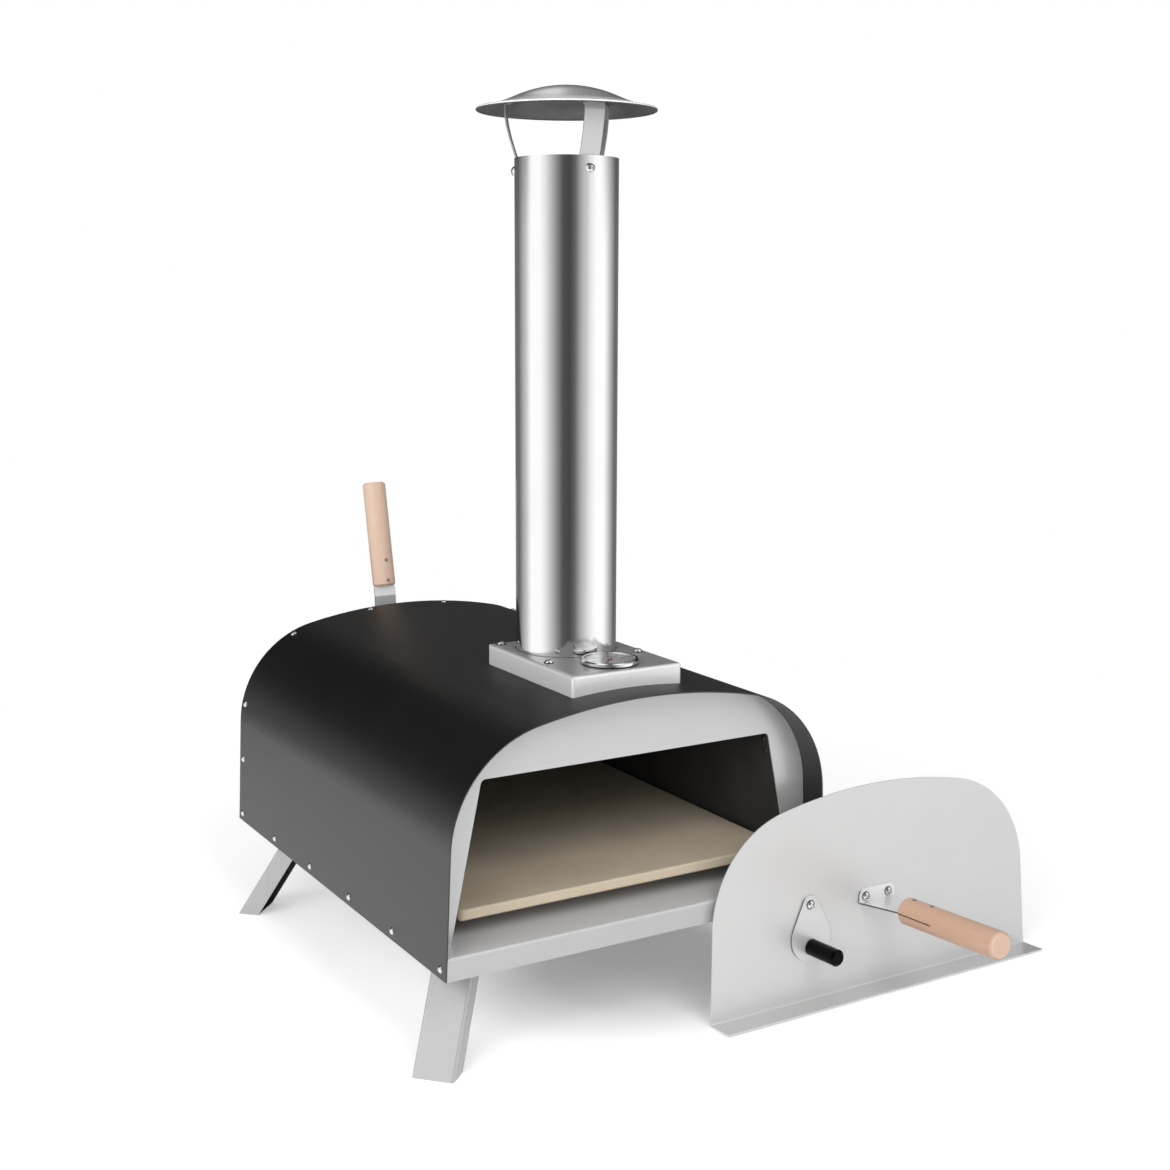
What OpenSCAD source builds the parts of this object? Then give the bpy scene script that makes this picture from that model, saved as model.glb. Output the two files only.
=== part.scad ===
// Table-top wood fired pizza oven with a lift-off door, a flue with a rain cap and four folding legs.
// Frame: origin on the floor under the middle of the oven, +X to the right as seen from the mouth,
// -Y towards the mouth, +Z up. Heights of the oven's own pieces are measured from the bottom edge
// of its shell, which stands leg_clear above the floor.

/* [Shell] */
// Outer width of the shell at its bottom edge
shell_w = 400; // [390:2:430]
// Length of the shell from front rim to rear rim
shell_l = 510; // [500:5:580]
// Height of the roof's crown above the bottom edge
shell_h = 221; // [216:1:236]
// Inward lean of the side walls in degrees
side_lean = 2.6; // [1.5:0.1:4]
// Outer radius of the shoulders
shoulder_r = 106; // [95:1:112]
// Outer radius of the roof's shallow arc
roof_r = 517; // [470:5:650]
// Sheet thickness of the shell
shell_t = 1.2; // [0.8:0.1:2]

/* [Base] */
// Height of the base tray's deck above the bottom edge, and so of its front lip
lip_h = 20; // [19.5:0.5:24]
// Sheet thickness of the base tray
base_t = 1.2; // [0.8:0.1:2]
// Height of the bottom edge above the floor with the legs down
leg_clear = 95; // [85:1:110]

/* [Front face and rear panel] */
// Depth of the front face behind the shell's front rim
face_recess = 28.6; // [24:0.2:34]
// Sheet thickness of the front face
face_t = 1.2; // [0.8:0.1:2]
// Depth of the front face's rim flange
face_flange = 16; // [14:1:22]
// Width of the front face beside the mouth, at the deck
face_side = 17.5; // [15:0.5:30]
// Height of the front face above the mouth
face_top = 60.5; // [54:0.5:70]
// Outward slope of the mouth's sides, degrees from vertical
mouth_flare = 12; // [10:0.2:12.6]
// Radius of the mouth's top corners
mouth_corner = 5; // [3:0.5:5.5]
// Sheet thickness of the rear panel
rear_t = 1.2; // [0.8:0.1:2]
// Depth of the rear panel's rim flange
rear_flange = 20; // [17:1:26]
// Diameter of the air holes in the rear panel
air_hole_d = 8; // [5:0.5:10]

/* [Liner and insulation] */
// Sheet thickness of the inner liner
liner_t = 1; // [0.8:0.1:1.5]
// Gap between the liner's rear wall and the shell's rear rim
liner_rear_gap = 40; // [32:1:46]
// Clearance left all round the insulation blanket
blanket_gap = 1; // [0.5:0.1:2]

/* [Stone] */
// Clearance between the square stone's sides and the liner
stone_side = 3.5; // [1.5:0.5:15]
// Thickness of the pizza stone
stone_t = 10; // [8:0.5:14]
// Height of the stone's underside above the deck
stone_rise = 17.5; // [14:0.5:22]
// Distance of the stone's front edge behind the front face's outer side
stone_set = 1.6; // [1.3:0.1:8]
// Corner radius of the stone
stone_corner = 7; // [3:0.5:12]
// Spacing of the two rails that carry the stone, centre to centre
rail_gap = 230; // [180:2:260]
// Width of a rail's top
rail_w = 22; // [14:1:30]
// Sheet thickness of the rails and the flame guard
rail_t = 1.2; // [0.8:0.1:2]
// Height of the flame guard behind the stone, above the deck
guard_h = 48; // [36:1:60]
// Clearance between the stone's rear edge and the flame guard
guard_gap = 3; // [1:0.5:6]
// Clearance between the flame guard's ends and the liner
guard_side = 30; // [10:1:50]

/* [Flue] */
// Outer diameter of the flue pipe
pipe_d = 93.8; // [88:0.2:98]
// Length of the flue pipe
pipe_l = 448; // [300:1:500]
// Wall thickness of the flue pipe
pipe_t = 1; // [0.8:0.1:1.6]
// Distance of the pipe's axis behind the front rim
pipe_back = 145.4; // [142:0.2:150]
// Width of the flue base
flue_base_w = 114; // [112:1:124]
// Length of the flue base
flue_base_l = 159; // [157:1:170]
// Distance of the flue base behind the front rim
flue_base_back = 35.7; // [34:0.1:37]
// Height of the flue base's top above the roof's crown
flue_rise = 16.2; // [14:0.2:22]
// Sheet thickness of the flue base and of the collar's flange
flue_t = 1.5; // [1:0.1:2]
// Wall thickness of the collar inside the pipe's foot
collar_t = 1.2; // [0.8:0.1:1.6]
// Radial clearance between the collar and the pipe
collar_gap = 0.4; // [0.3:0.05:0.8]
// How far the collar reaches up into the pipe
collar_reach = 25; // [15:1:40]
// Radial clearance between the pipe and the hole in the flue base
pipe_gap = 1.3; // [0.5:0.1:1.8]

/* [Rain cap] */
// Radius of the rain cap's rim
cap_r = 81.2; // [70:0.2:90]
// Height of the rain cap from rim to crown
cap_h = 21; // [16:0.5:26]
// Sheet thickness of the rain cap
cap_t = 1; // [0.8:0.1:1.5]
// Height of the cap's rim above the pipe's top edge
cap_lift = 42; // [30:1:55]
// Width of a cap leg
cap_leg_w = 19; // [12:1:22]
// Sheet thickness of a cap leg
cap_leg_t = 1.4; // [1:0.1:2]
// How far a cap leg spreads outward between pipe and cap
cap_leg_spread = 11; // [6:0.5:16]
// Direction of the first cap leg, degrees from +X
cap_leg_turn = -94; // [-120:1:-60]

/* [Thermometer] */
// Diameter of the thermometer's bezel
dial_d = 53; // [44:0.5:56]
// Height of the bezel above the flue base
bezel_h = 4.6; // [4.4:0.1:7]
// Diameter of the thermometer's stem
stem_d = 6; // [4:0.5:8]

/* [Legs] */
// Outer width of a leg's web
leg_w = 38.4; // [34:0.2:44]
// Depth of a leg's flanges
leg_flange = 19.4; // [18.6:0.1:19.8]
// Sheet thickness of a leg
leg_t = 1.5; // [1.2:0.1:2]
// Outward tilt of a standing leg, degrees from vertical
leg_tilt = 32; // [28:0.5:33]
// Turn of the legs' outward direction from straight ahead, degrees
leg_turn = 46.8; // [42:0.2:50]
// Distance of a leg's pin from the shell's side edge
leg_pin_in = 52; // [48:0.5:60]
// Distance of a leg's pin from the shell's front or rear edge
leg_pin_back = 73.3; // [70:0.1:80]
// Diameter of a leg's pin
leg_pin_d = 6; // [4:0.5:7]
// Distance from the deck's underside to the leg's pin
leg_pin_drop = 10.8; // [10.6:0.1:12]
// Distance from the leg's pin to the outside of its web
leg_web_off = 10; // [9.6:0.1:10]

/* [Door] */
// Clearance between the door and the shell's inside when it is fitted
door_gap = 1; // [0.6:0.1:3]
// Sheet thickness of the door
door_t = 1.2; // [0.8:0.1:2]
// Sideways place of the standing door's middle
door_x = 258; // [250:1:280]
// Backward tilt of the door as it leans on the front rim, degrees
door_tilt = 3.6; // [2:0.1:3.6]
// Distance of the standing door's heel in front of the front rim
door_ahead = 12.7; // [12.7:0.1:20]
// Height of the handle above the door's heel
handle_h = 83.8; // [70:0.2:100]
// Length of the handle's wooden grip
grip_l = 123; // [90:1:140]
// Diameter of the wooden grips
grip_d = 26; // [22:0.5:30]
// Distance from the door to the near end of the grip
grip_off = 45; // [34:1:60]
// Sheet thickness of the handle strips
strip_t = 1.5; // [1:0.1:2.5]

/* [Peephole] */
// Diameter of the peephole
peep_d = 32; // [20:1:36]
// Sideways place of the peephole, to the left of the door's middle
peep_x = 81.5; // [75:0.5:100]
// Height of the peephole's centre above the door's heel
peep_h = 62; // [50:0.5:80]
// Distance from the peephole's centre up to the cover's pivot
peep_pivot = 32; // [31:0.5:36]
// Radius of the cover's round lower end
cover_r = 23; // [21:0.5:26]
// Radius of the cover's upper end
cover_top_r = 9; // [7:0.5:11]
// Sheet thickness of the cover
cover_t = 1.5; // [1:0.1:2]
// Diameter of the cover's knob
knob_d = 16; // [12:0.5:20]
// Length of the cover's knob
knob_l = 40; // [20:1:50]

/* [Hopper] */
// Inner width of the fuel hopper
hopper_w = 98; // [84:1:104]
// Depth of the fuel hopper behind the rear panel
hopper_l = 84; // [76:1:96]
// Height of the hopper's top edge
hopper_top = 191; // [184:1:208]
// Lowest height of the hopper's sloped chute, at its inner end
chute_low = 56; // [54.5:0.5:62]
// Slope of the chute's floor, degrees
chute_slope = 35; // [30:1:38]
// Upright opening of the chute
chute_open = 38; // [30:1:44]
// Sheet thickness of the hopper and its lid
hopper_t = 1.2; // [0.8:0.1:1.6]
// Height of the bend in the lid's handle strip above the lid
lid_strip_h = 28; // [12:1:36]
// Backward lean of the lid's handle, degrees
lid_lean = 12; // [0:1:25]
// Length of the lid handle's wooden grip
lid_grip_l = 120; // [80:1:140]

/* [Burner tray] */
// Outer width of the burner tray
tray_w = 96; // [80:1:98]
// Height of the burner tray
tray_h = 30; // [24:0.5:32]
// Clearance between the flame guard and the burner tray
tray_gap = 9.5; // [6:0.5:40]
// Sheet thickness of the burner tray
tray_t = 1.2; // [0.8:0.1:1.6]
// Diameter of the holes in the grate
grate_hole_d = 5; // [3:0.5:6]

/* [Rivets and screws] */
// Diameter of a rivet's head
rivet_head_d = 7; // [5:0.5:9]
// Diameter of a rivet's shank
rivet_d = 4; // [3:0.5:4.5]
// Height of the row of rivets along the bottom edge
rivet_h = 8.3; // [7:0.1:11]
// Distance of the end rivets from the shell's front and rear rims
rivet_end = 11; // [9:0.5:13]
// Diameter of a screw's pan head
screw_head_d = 9.4; // [8:0.2:10]
// Diameter of a screw's shank
screw_d = 4.8; // [3:0.2:5]

/* [Hidden] */
$fn = 96;

SIDES = [-1, 1];
run_gap = 0.05;        // radial clearance of every turning pin
slide_gap = 0.4;       // clearance of faces that pass each other
over = 1;              // how far a cutter runs past what it cuts
stone_edge = 1.8;      // radius of the stone's long edges
fold_r = 1.5;          // inside radius of the folds in the door, the base tray and the flue base
leg_fold = 0.8;        // and in the legs
blend = 0.02;          // small arcs stand this much proud of the straight sides that they join
front_y = -shell_l/2;
back_y = shell_l/2;
rear_rivet_z = 68.5;   // height of the rear panel's lowest rivets
shoulder_rivets = [13, 64];    // places of its rivets on the shoulders, degrees up from +X,
roof_rivet = 85;       // and on the roof
air_hole_x = 100;      // place of the innermost air hole to each side,
air_hole_step = 15;    // the spacing of the row,
air_hole_z = lip_h + 0.4*shell_h;     // and its height
screw_drops = [7.5, 19.5];     // distances of the liner's screws below the mouth's top edge
curve_slack = 0.1;     // slack of a flat rivet tail inside a curved sheet

// Arch outline: straight leaning sides, two shoulder arcs and one shallow roof arc, all tangent.
roof_cz = shell_h - roof_r;
arc_gap = roof_r - shoulder_r;
side_off = shell_w/2*cos(side_lean) - shoulder_r;
arch_b = side_off*sin(side_lean) + roof_cz*pow(cos(side_lean), 2);
arch_c = pow(side_off, 2) + pow(cos(side_lean), 2)*(pow(roof_cz, 2) - pow(arc_gap, 2));
shoulder_z = arch_b + sqrt(pow(arch_b, 2) - arch_c);
shoulder_x = (side_off - sin(side_lean)*shoulder_z)/cos(side_lean);
roof_turn = atan2(shoulder_x, shoulder_z - roof_cz);

// Half width of the leaning side wall at height z, with a wall thickness taken off
function side_x(z, inset = 0) = shell_w/2 - (inset + z*sin(side_lean))/cos(side_lean);
// Places on the arch: x, z and the direction that the surface faces, degrees up from +X
function side_spot(z) = [side_x(z), z, side_lean];
function shoulder_spot(a) = [shoulder_x + shoulder_r*cos(a), shoulder_z + shoulder_r*sin(a), a];
function roof_spot(a) = [roof_r*cos(a), roof_cz + roof_r*sin(a), a];

// Mouth outline: a trapezium with rounded top corners
mouth_top = shell_h - face_top;
mouth_w = 2*(side_x(lip_h, shell_t) - face_side - (mouth_top - lip_h)*tan(mouth_flare));
mouth_k = cos(mouth_flare)*mouth_w/2 + sin(mouth_flare)*mouth_top;
mouth_cz = mouth_top - mouth_corner;
mouth_cx = (mouth_k - mouth_corner - sin(mouth_flare)*mouth_cz)/cos(mouth_flare);
function mouth_x(z, grow = 0) = (mouth_k + grow - sin(mouth_flare)*z)/cos(mouth_flare);

face_y = front_y + face_recess;
liner_front = face_y + face_t;
liner_back = back_y - liner_rear_gap;
tray_back = back_y - rear_t;
deck_z = leg_clear + lip_h;

stone_l = 2*(mouth_x(lip_h + stone_rise + stone_t) - stone_side);
stone_front = face_y + stone_set;
stone_back = stone_front + stone_l;
rail_margin = 55;      // how far the rails stop short of the stone's edges
rail_foot = 8;         // width of a rail's foot on each side
guard_y = stone_back + guard_gap;
guard_foot = 13;       // depth of the flame guard's foot, which points forward under the stone
guard_w = 2*(mouth_x(lip_h + guard_h) - guard_side);

flue_y = front_y + pipe_back;
flue_top = leg_clear + shell_h + flue_rise;
flue_front = front_y + flue_base_back;
collar_d = pipe_d - 2*pipe_t - 2*collar_gap;
pipe_foot = flue_top - flue_t;
pipe_top = pipe_foot + pipe_l;
flue_screw_x = flue_base_w/2 - 9.5;
flue_screw_r = 46;     // the flue screws sit this far before and behind their row's middle
flue_screw_end = 8.2;  // and the rear ones this far before the base's rear edge
flue_screw_y = flue_front + flue_base_l - flue_screw_r - flue_screw_end;

cap_z = pipe_top + cap_lift;
// The cap's section is a dome of radius cap_crown, which turns at its steepest slope into a flared
// brim of radius cap_brim
cap_steep = 1.65*atan(cap_h/cap_r);
cap_flat = 0.83*atan(cap_h/cap_r);
cap_sines = sin(cap_steep) - sin(cap_flat);
cap_cosines = cos(cap_flat) - cos(cap_steep);
cap_det = sin(cap_steep)*cap_cosines - cap_sines*(1 - cos(cap_steep));
cap_crown = (cap_r*cap_cosines - cap_h*cap_sines)/cap_det;
cap_brim = (cap_h*sin(cap_steep) - cap_r*(1 - cos(cap_steep)))/cap_det;
cap_crown_z = cap_z + cap_h - cap_crown;
cap_brim_r = (cap_crown + cap_brim)*sin(cap_steep);
cap_brim_z = cap_crown_z + (cap_crown + cap_brim)*cos(cap_steep);
cap_hem = 1.2;         // radius of the rolled rim
cap_leg_turns = [for (i = [0:2]) cap_leg_turn + 120*i];
// The flat leg's outer face lies this far from the axis, so that its corners clear the round pipe
cap_leg_r = sqrt(pow(pipe_d/2 - pipe_t - 0.2, 2) - pow(cap_leg_w/2, 2));
cap_leg_drop = 26;     // how far a cap leg reaches down inside the pipe
cap_screw_drop = 11;   // distance of a cap screw below the pipe's top edge
cap_tab = 14;          // length of the tab that holds a leg to the cap

dial_y = (flue_front + flue_y - pipe_d/2)/2;
case_floor = 1;
case_wall = 1.6;
bezel_lip = 3;
dial_t = 0.5;
glass_t = 1;
spigot_d = stem_d + 6;
spigot_l = 9;
dial_z = flue_top + case_floor;
glass_z = flue_top + bezel_h - 0.6 - glass_t;
needle_z = dial_z + dial_t + 0.4;
needle_t = 0.4;
needle_pin_d = 1.2;
stem_end = leg_clear + mouth_top - 3;
nut_h = 3;

leg_top = 6.1;         // how far a leg's web reaches above its pin: its edge stops on the deck
leg_in = leg_flange - leg_web_off;
leg_pin_z = deck_z - base_t - leg_pin_drop;
leg_inner_w = leg_w - 2*leg_t;
bracket_w = leg_inner_w - 2*slide_gap;
bracket_t = 1.5;
bracket_eye = 6;
leg_long = 2*leg_clear;
LEGS = [["front", "left"], ["front", "right"], ["rear", "left"], ["rear", "right"]];

door_in = shell_t + door_gap;
door_flange = face_recess - 0.6;
door_y = front_y - door_ahead;
bracket_half = 22;     // half width of the door handle's bracket
bracket_h = 14.5;
strip_half = 11.5;
strip_in = 46;         // how far a strip reaches into its wooden grip
pin_step = 23.5;       // distance between a grip's two pins
door_pin = 11;         // distance of the first pin from the grip's near end, on the door
lid_pin = 6;           // and on the hopper's lid
grip_pin_d = 4;
door_screw_x = 14;
door_screw_h = handle_h + 6;
peep_pivot_h = peep_h + peep_pivot;
cover_gap = 0.2;
cover_turn = asin((cover_r - cover_top_r)/peep_pivot);
knob_h = peep_h - 9;
knob_spigot = 6;

hopper_out = hopper_w + 2*hopper_t;
hopper_back = back_y + hopper_l;
hopper_flange = 14;
chute_y = liner_back - 3;
chute_rise = tan(chute_slope);
hinge_out = 4.5;       // the lid's pin sits this far behind the hopper's rear wall,
hinge_drop = 2;        // and this far below its top edge
hinge_eye = 4;         // radius of the hopper's and the lid's hinge ears
lid_gap = 0.5;
lid_out = hopper_out + 2*lid_gap + 2*hopper_t;
lid_z = leg_clear + hopper_top + lid_gap;
lid_front = back_y + hopper_t + 0.6;
lid_lip = 9;
lid_pin_d = 3;
lid_pin_y = hopper_back + hinge_out;
lid_pin_z = leg_clear + hopper_top - hinge_drop;
lid_strip_y = back_y + 0.6*hopper_l;
lid_strip_half = 13;
lid_foot = 18;
lid_bend_z = lid_z + hopper_t + lid_strip_h;
lid_grip_off = 11;     // distance along the strip from its bend to the grip

tray_z = deck_z + 0.3;
tray_front = guard_y + rail_t + tray_gap;
tray_l = back_y - tray_front;
guide_h = 12;          // height of the burner tray's guides
guide_foot = 12;       // width of their feet
tray_plate = 12;       // how far the burner tray's end plate laps over its opening
pull_wire = 5;
grate_z = tray_z + 9;
grate_step = 12;       // spacing of the grate's holes
grate_edge = 13;       // least distance of their middles from the grate's ends
hole_through = 20;     // length of a cutter for the screws through the rear panel
nut_w = 8;

// ---- shared shapes ----

// Extrudes a section drawn in X and height along Y, at the shell's level
module along_y(y0, y1) {
    translate([0, y1, leg_clear]) rotate([90, 0, 0]) linear_extrude(y1 - y0) children();
}

// The shell's section, moved inward by inset and cut off below floor_z
module arch_2d(inset = 0, floor_z = 0) {
    r = shoulder_r - inset;
    half = [[side_x(floor_z, inset), floor_z],
        [shoulder_x + r*cos(side_lean), shoulder_z + r*sin(side_lean)],
        [shoulder_x, shoulder_z]];
    intersection() {
        union() {
            polygon(concat(half, [for (i = [2:-1:0]) [-half[i][0], half[i][1]]]));
            for (s = SIDES) translate([s*shoulder_x, shoulder_z]) circle(r);
            intersection() {
                translate([0, roof_cz]) circle(roof_r - inset);
                translate([0, roof_cz]) polygon([[0, 0], 2*roof_r*[sin(roof_turn), cos(roof_turn)],
                    2*roof_r*[-sin(roof_turn), cos(roof_turn)]]);
            }
        }
        translate([-shell_w, floor_z]) square([2*shell_w, 2*shell_h]);
    }
}

// The mouth's section, grown outward by grow and cut off below floor_z
module mouth_2d(grow = 0, floor_z = 0) {
    r = mouth_corner + grow;
    half = [[mouth_x(floor_z, grow), floor_z],
        [mouth_cx + r*cos(mouth_flare), mouth_cz + r*sin(mouth_flare)],
        [mouth_cx, mouth_cz], [mouth_cx, mouth_top + grow]];
    polygon(concat(half, [for (i = [3:-1:0]) [-half[i][0], half[i][1]]]));
    for (s = SIDES) translate([s*mouth_cx, mouth_cz]) circle(r + blend);
}

// Upright box given by its middle in x, its ranges in y and z, and its width
module span_box(w, y0, y1, z0, z1) {
    translate([-w/2, y0, z0]) cube([w, y1 - y0, z1 - z0]);
}

// Extrusion along X, w long and centred, of a section drawn in the Y-Z plane
module along_x(w) {
    rotate([90, 0, 90]) linear_extrude(w, center = true) children();
}

// Upright rectangle from x0 to x1 and z0 to z1 with its two top corners rounded
module folded(x0, x1, z0, z1, r) {
    translate([x0, z0]) square([x1 - x0, z1 - r - z0]);
    translate([x0 + r, z0]) square([x1 - x0 - 2*r, z1 - z0]);
    for (x = [x0 + r, x1 - r]) translate([x, z1 - r]) circle(r);
}

module rounded_rect(w, l, r) {
    square([w - 2*r, l], center = true);
    square([w, l - 2*r], center = true);
    for (sx = SIDES, sy = SIDES) translate([sx*(w/2 - r), sy*(l/2 - r)]) circle(r);
}

// Domed cap of a rivet or screw, standing on z = 0
module dome(d, h) {
    r = (pow(d/2, 2) + h*h)/(2*h);
    intersection() {
        translate([0, 0, h - r]) sphere(r);
        cylinder(d = d, h = h);
    }
}

// Rivet through a grip of sheets: its head stands on z = 0, its tail lies below the sheets
module rivet(grip, head = rivet_head_d) {
    dome(head, 2);
    translate([0, 0, -grip]) cylinder(d = rivet_d, h = grip);
    translate([0, 0, -grip - 1]) cylinder(d = rivet_d + 2, h = 1);
}

// Pan-head cross-slot screw: its head stands on z = 0 and its shank runs down by len
module pan_screw(len, head = screw_head_d, d = screw_d) {
    slot_w = 0.13*head;
    difference() {
        dome(head, 0.36*head);
        for (a = [45, 135]) rotate([0, 0, a])
            translate([-0.3*head, -slot_w/2, 0.2*head]) cube([0.6*head, slot_w, head]);
    }
    translate([0, 0, -len]) cylinder(d = d, h = len);
}

module hex_nut(d = screw_d) {
    difference() {
        cylinder(d = nut_w/cos(30), h = nut_h, $fn = 6);
        translate([0, 0, -over]) cylinder(d = d, h = nut_h + 2*over);
    }
}

// Wooden grip along +Z from z = 0, with chamfered ends, a slot for its strip and two pin holes
module wood_grip(len, first) {
    chamfer = 2.2;
    difference() {
        rotate_extrude() polygon([[0, 0], [grip_d/2 - chamfer, 0], [grip_d/2, chamfer],
            [grip_d/2, len - chamfer], [grip_d/2 - chamfer, len], [0, len]]);
        translate([-grip_d, -strip_t/2, -over]) cube([2*grip_d, strip_t, strip_in + over]);
        grip_pins(first);
    }
}

// The two pins that hold a strip in its grip, across the strip
module grip_pins(first) {
    for (i = [0, 1]) translate([0, 0, first + i*pin_step]) rotate([90, 0, 0])
        cylinder(d = grip_pin_d, h = grip_d + 1, center = true);
}

// Outline of a strip t thick along a gently turning path
function band(path, t) = let (
    last = len(path) - 1,
    step = [for (i = [1:last]) (path[i] - path[i - 1])/norm(path[i] - path[i - 1])],
    side = [for (i = [0:last]) let (a = step[max(i - 1, 0)], b = step[min(i, last - 1)])
        t/2*[-a[1] - b[1], a[0] + b[0]]/(1 + a*b)])
    concat([for (i = [0:last]) path[i] + side[i]], [for (i = [last:-1:0]) path[i] - side[i]]);

// Flat strip of sheet of width w along Y: it follows the curve in the X-Z plane, if there is one, and
// then bends at the points of the path
module bent_strip(path, t, w, curve = []) {
    translate([0, w/2, 0]) rotate([90, 0, 0]) linear_extrude(w) {
        if (len(curve) > 0) {
            polygon(band(concat(curve, [path[0]]), t));
            translate(path[0]) circle(t/2);
        }
        for (i = [0:len(path) - 2]) {
            d = path[i + 1] - path[i];
            translate(path[i]) rotate([0, 0, atan2(d[1], d[0])])
                translate([0, -t/2]) square([norm(d), t]);
        }
        for (i = [1:1:len(path) - 2]) translate(path[i]) circle(t/2);
    }
}

// ---- places ----

// A frame on the arch's outside at side s and depth y, with +Z facing out of the surface
module on_arch(s, y, spot) {
    mirror([s < 0 ? 1 : 0, 0, 0]) translate([spot[0], y, leg_clear + spot[1]])
        rotate([0, 90 - spot[2], 0]) children();
}

module at_side_rivets() {
    step = (shell_l - 2*rivet_end)/5;
    for (s = SIDES, i = [0:5]) on_arch(s, front_y + rivet_end + i*step, side_spot(rivet_h)) children();
}

module at_rear_rivets() {
    spots = concat([side_spot(rear_rivet_z)], [for (a = shoulder_rivets) shoulder_spot(a)],
        [roof_spot(roof_rivet)]);
    for (s = SIDES, spot = spots) on_arch(s, back_y - rear_flange/2, spot) children();
}

// A frame on the liner's inside near the mouth, with +Z facing out through the liner
module at_liner_screws() {
    for (s = SIDES, drop = screw_drops) mirror([s < 0 ? 1 : 0, 0, 0])
        translate([mouth_x(mouth_top - drop), liner_front + 7, leg_clear + mouth_top - drop])
            rotate([0, 90 - mouth_flare, 0]) children();
}

module at_flue_screws() {
    for (sx = SIDES, sy = SIDES)
        translate([sx*flue_screw_x, flue_screw_y + sy*flue_screw_r, flue_top]) children();
}

module at_cap_legs() {
    translate([0, flue_y, 0]) for (a = cap_leg_turns) rotate([0, 0, a]) children();
}

// A leg's own frame: origin on its pin, +X outward, +Y along the pin
module at_leg(i) {
    sx = LEGS[i][1] == "left" ? -1 : 1;
    sy = LEGS[i][0] == "front" ? -1 : 1;
    translate([sx*(shell_w/2 - leg_pin_in), sy*(shell_l/2 - leg_pin_back), leg_pin_z])
        rotate([0, 0, atan2(sy*cos(leg_turn), sx*sin(leg_turn))]) children();
}

// The standing door's own frame: origin at the middle of its heel, -Y to the front
module on_door() {
    translate([door_x, door_y, 0]) rotate([-door_tilt, 0, 0]) children();
}

// A frame on the hopper lid's handle, with +Z up along the leaning grip
module on_lid_grip() {
    translate([0, lid_strip_y, lid_bend_z]) rotate([-lid_lean, 0, 0])
        translate([0, 0, lid_grip_off]) children();
}

// ---- oven body ----

module outer_shell() {
    color("#2b2b2d") difference() {
        along_y(front_y, back_y) arch_2d();
        along_y(front_y - over, back_y + over) arch_2d(shell_t, -over);
        at_side_rivets() cylinder(d = rivet_d, h = 4*shell_t, center = true);
        at_rear_rivets() cylinder(d = rivet_d, h = 4*shell_t, center = true);
        translate([0, flue_y, leg_clear + mouth_top]) cylinder(d = collar_d + 2, h = shell_h);
        translate([0, dial_y, leg_clear + mouth_top]) cylinder(d = spigot_d + 8, h = shell_h);
    }
}

module base_tray() {
    module band(inset, z0, z1) intersection() {
        arch_2d(inset, z0);
        translate([-shell_w, z0]) square([2*shell_w, z1 - z0]);
    }
    color("#bdbdbd") difference() {
        intersection() {
            along_y(front_y, tray_back) band(shell_t, 0, lip_h);
            along_x(2*shell_w) translate([0, leg_clear])
                folded(front_y, tray_back, 0, lip_h, fold_r + base_t);
        }
        intersection() {
            along_y(front_y + base_t, tray_back - base_t) band(shell_t + base_t, -over, lip_h - base_t);
            along_x(2*shell_w) translate([0, leg_clear])
                folded(front_y + base_t, tray_back - base_t, -over, lip_h - base_t, fold_r);
        }
        at_side_rivets() cylinder(d = rivet_d, h = 6*(shell_t + base_t), center = true);
    }
}

module front_face() {
    tab_l = 12;
    tab_h = 26;
    color("#c8c8c8") difference() {
        union() {
            difference() {
                along_y(face_y, face_y + face_flange) arch_2d(shell_t, lip_h);
                along_y(liner_front, face_y + face_flange + over) arch_2d(shell_t + face_t, lip_h - over);
                along_y(face_y - over, liner_front + over) mouth_2d(0, lip_h - over);
            }
            for (s = SIDES) mirror([s < 0 ? 1 : 0, 0, 0])
                translate([mouth_x(mouth_top - 14), liner_front, leg_clear + mouth_top - 14])
                    rotate([0, 90 - mouth_flare, 0])
                        translate([-tab_h/2, -face_t, liner_t]) cube([tab_h, tab_l + face_t, face_t]);
        }
        at_liner_screws() cylinder(d = screw_d - 1, h = 6*(liner_t + face_t), center = true);
    }
}

module rear_panel() {
    color("#3a3a3c") difference() {
        union() {
            difference() {
                along_y(back_y - rear_flange, back_y) arch_2d(shell_t, lip_h);
                along_y(back_y - rear_flange - over, tray_back) arch_2d(shell_t + rear_t, lip_h - over);
            }
            along_y(tray_back, back_y) intersection() {
                arch_2d(shell_t);
                translate([-shell_w/2, 0]) square([shell_w, lip_h]);
            }
        }
        at_rear_rivets() cylinder(d = rivet_d, h = 6*(shell_t + rear_t), center = true);
        hopper_sweep(hopper_out, hopper_t);
        span_box(tray_w + 2*slide_gap, tray_back - over, back_y + over, deck_z,
            tray_z + tray_h + slide_gap);
        for (s = SIDES, i = [0:4])
            translate([s*(air_hole_x + air_hole_step*i), back_y, leg_clear + air_hole_z]) rotate([90, 0, 0])
                cylinder(d = air_hole_d, h = 4*rear_t, center = true);
        at_hopper_screws() rotate([90, 0, 0]) cylinder(d = screw_d, h = hole_through, center = true);
    }
}

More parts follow.
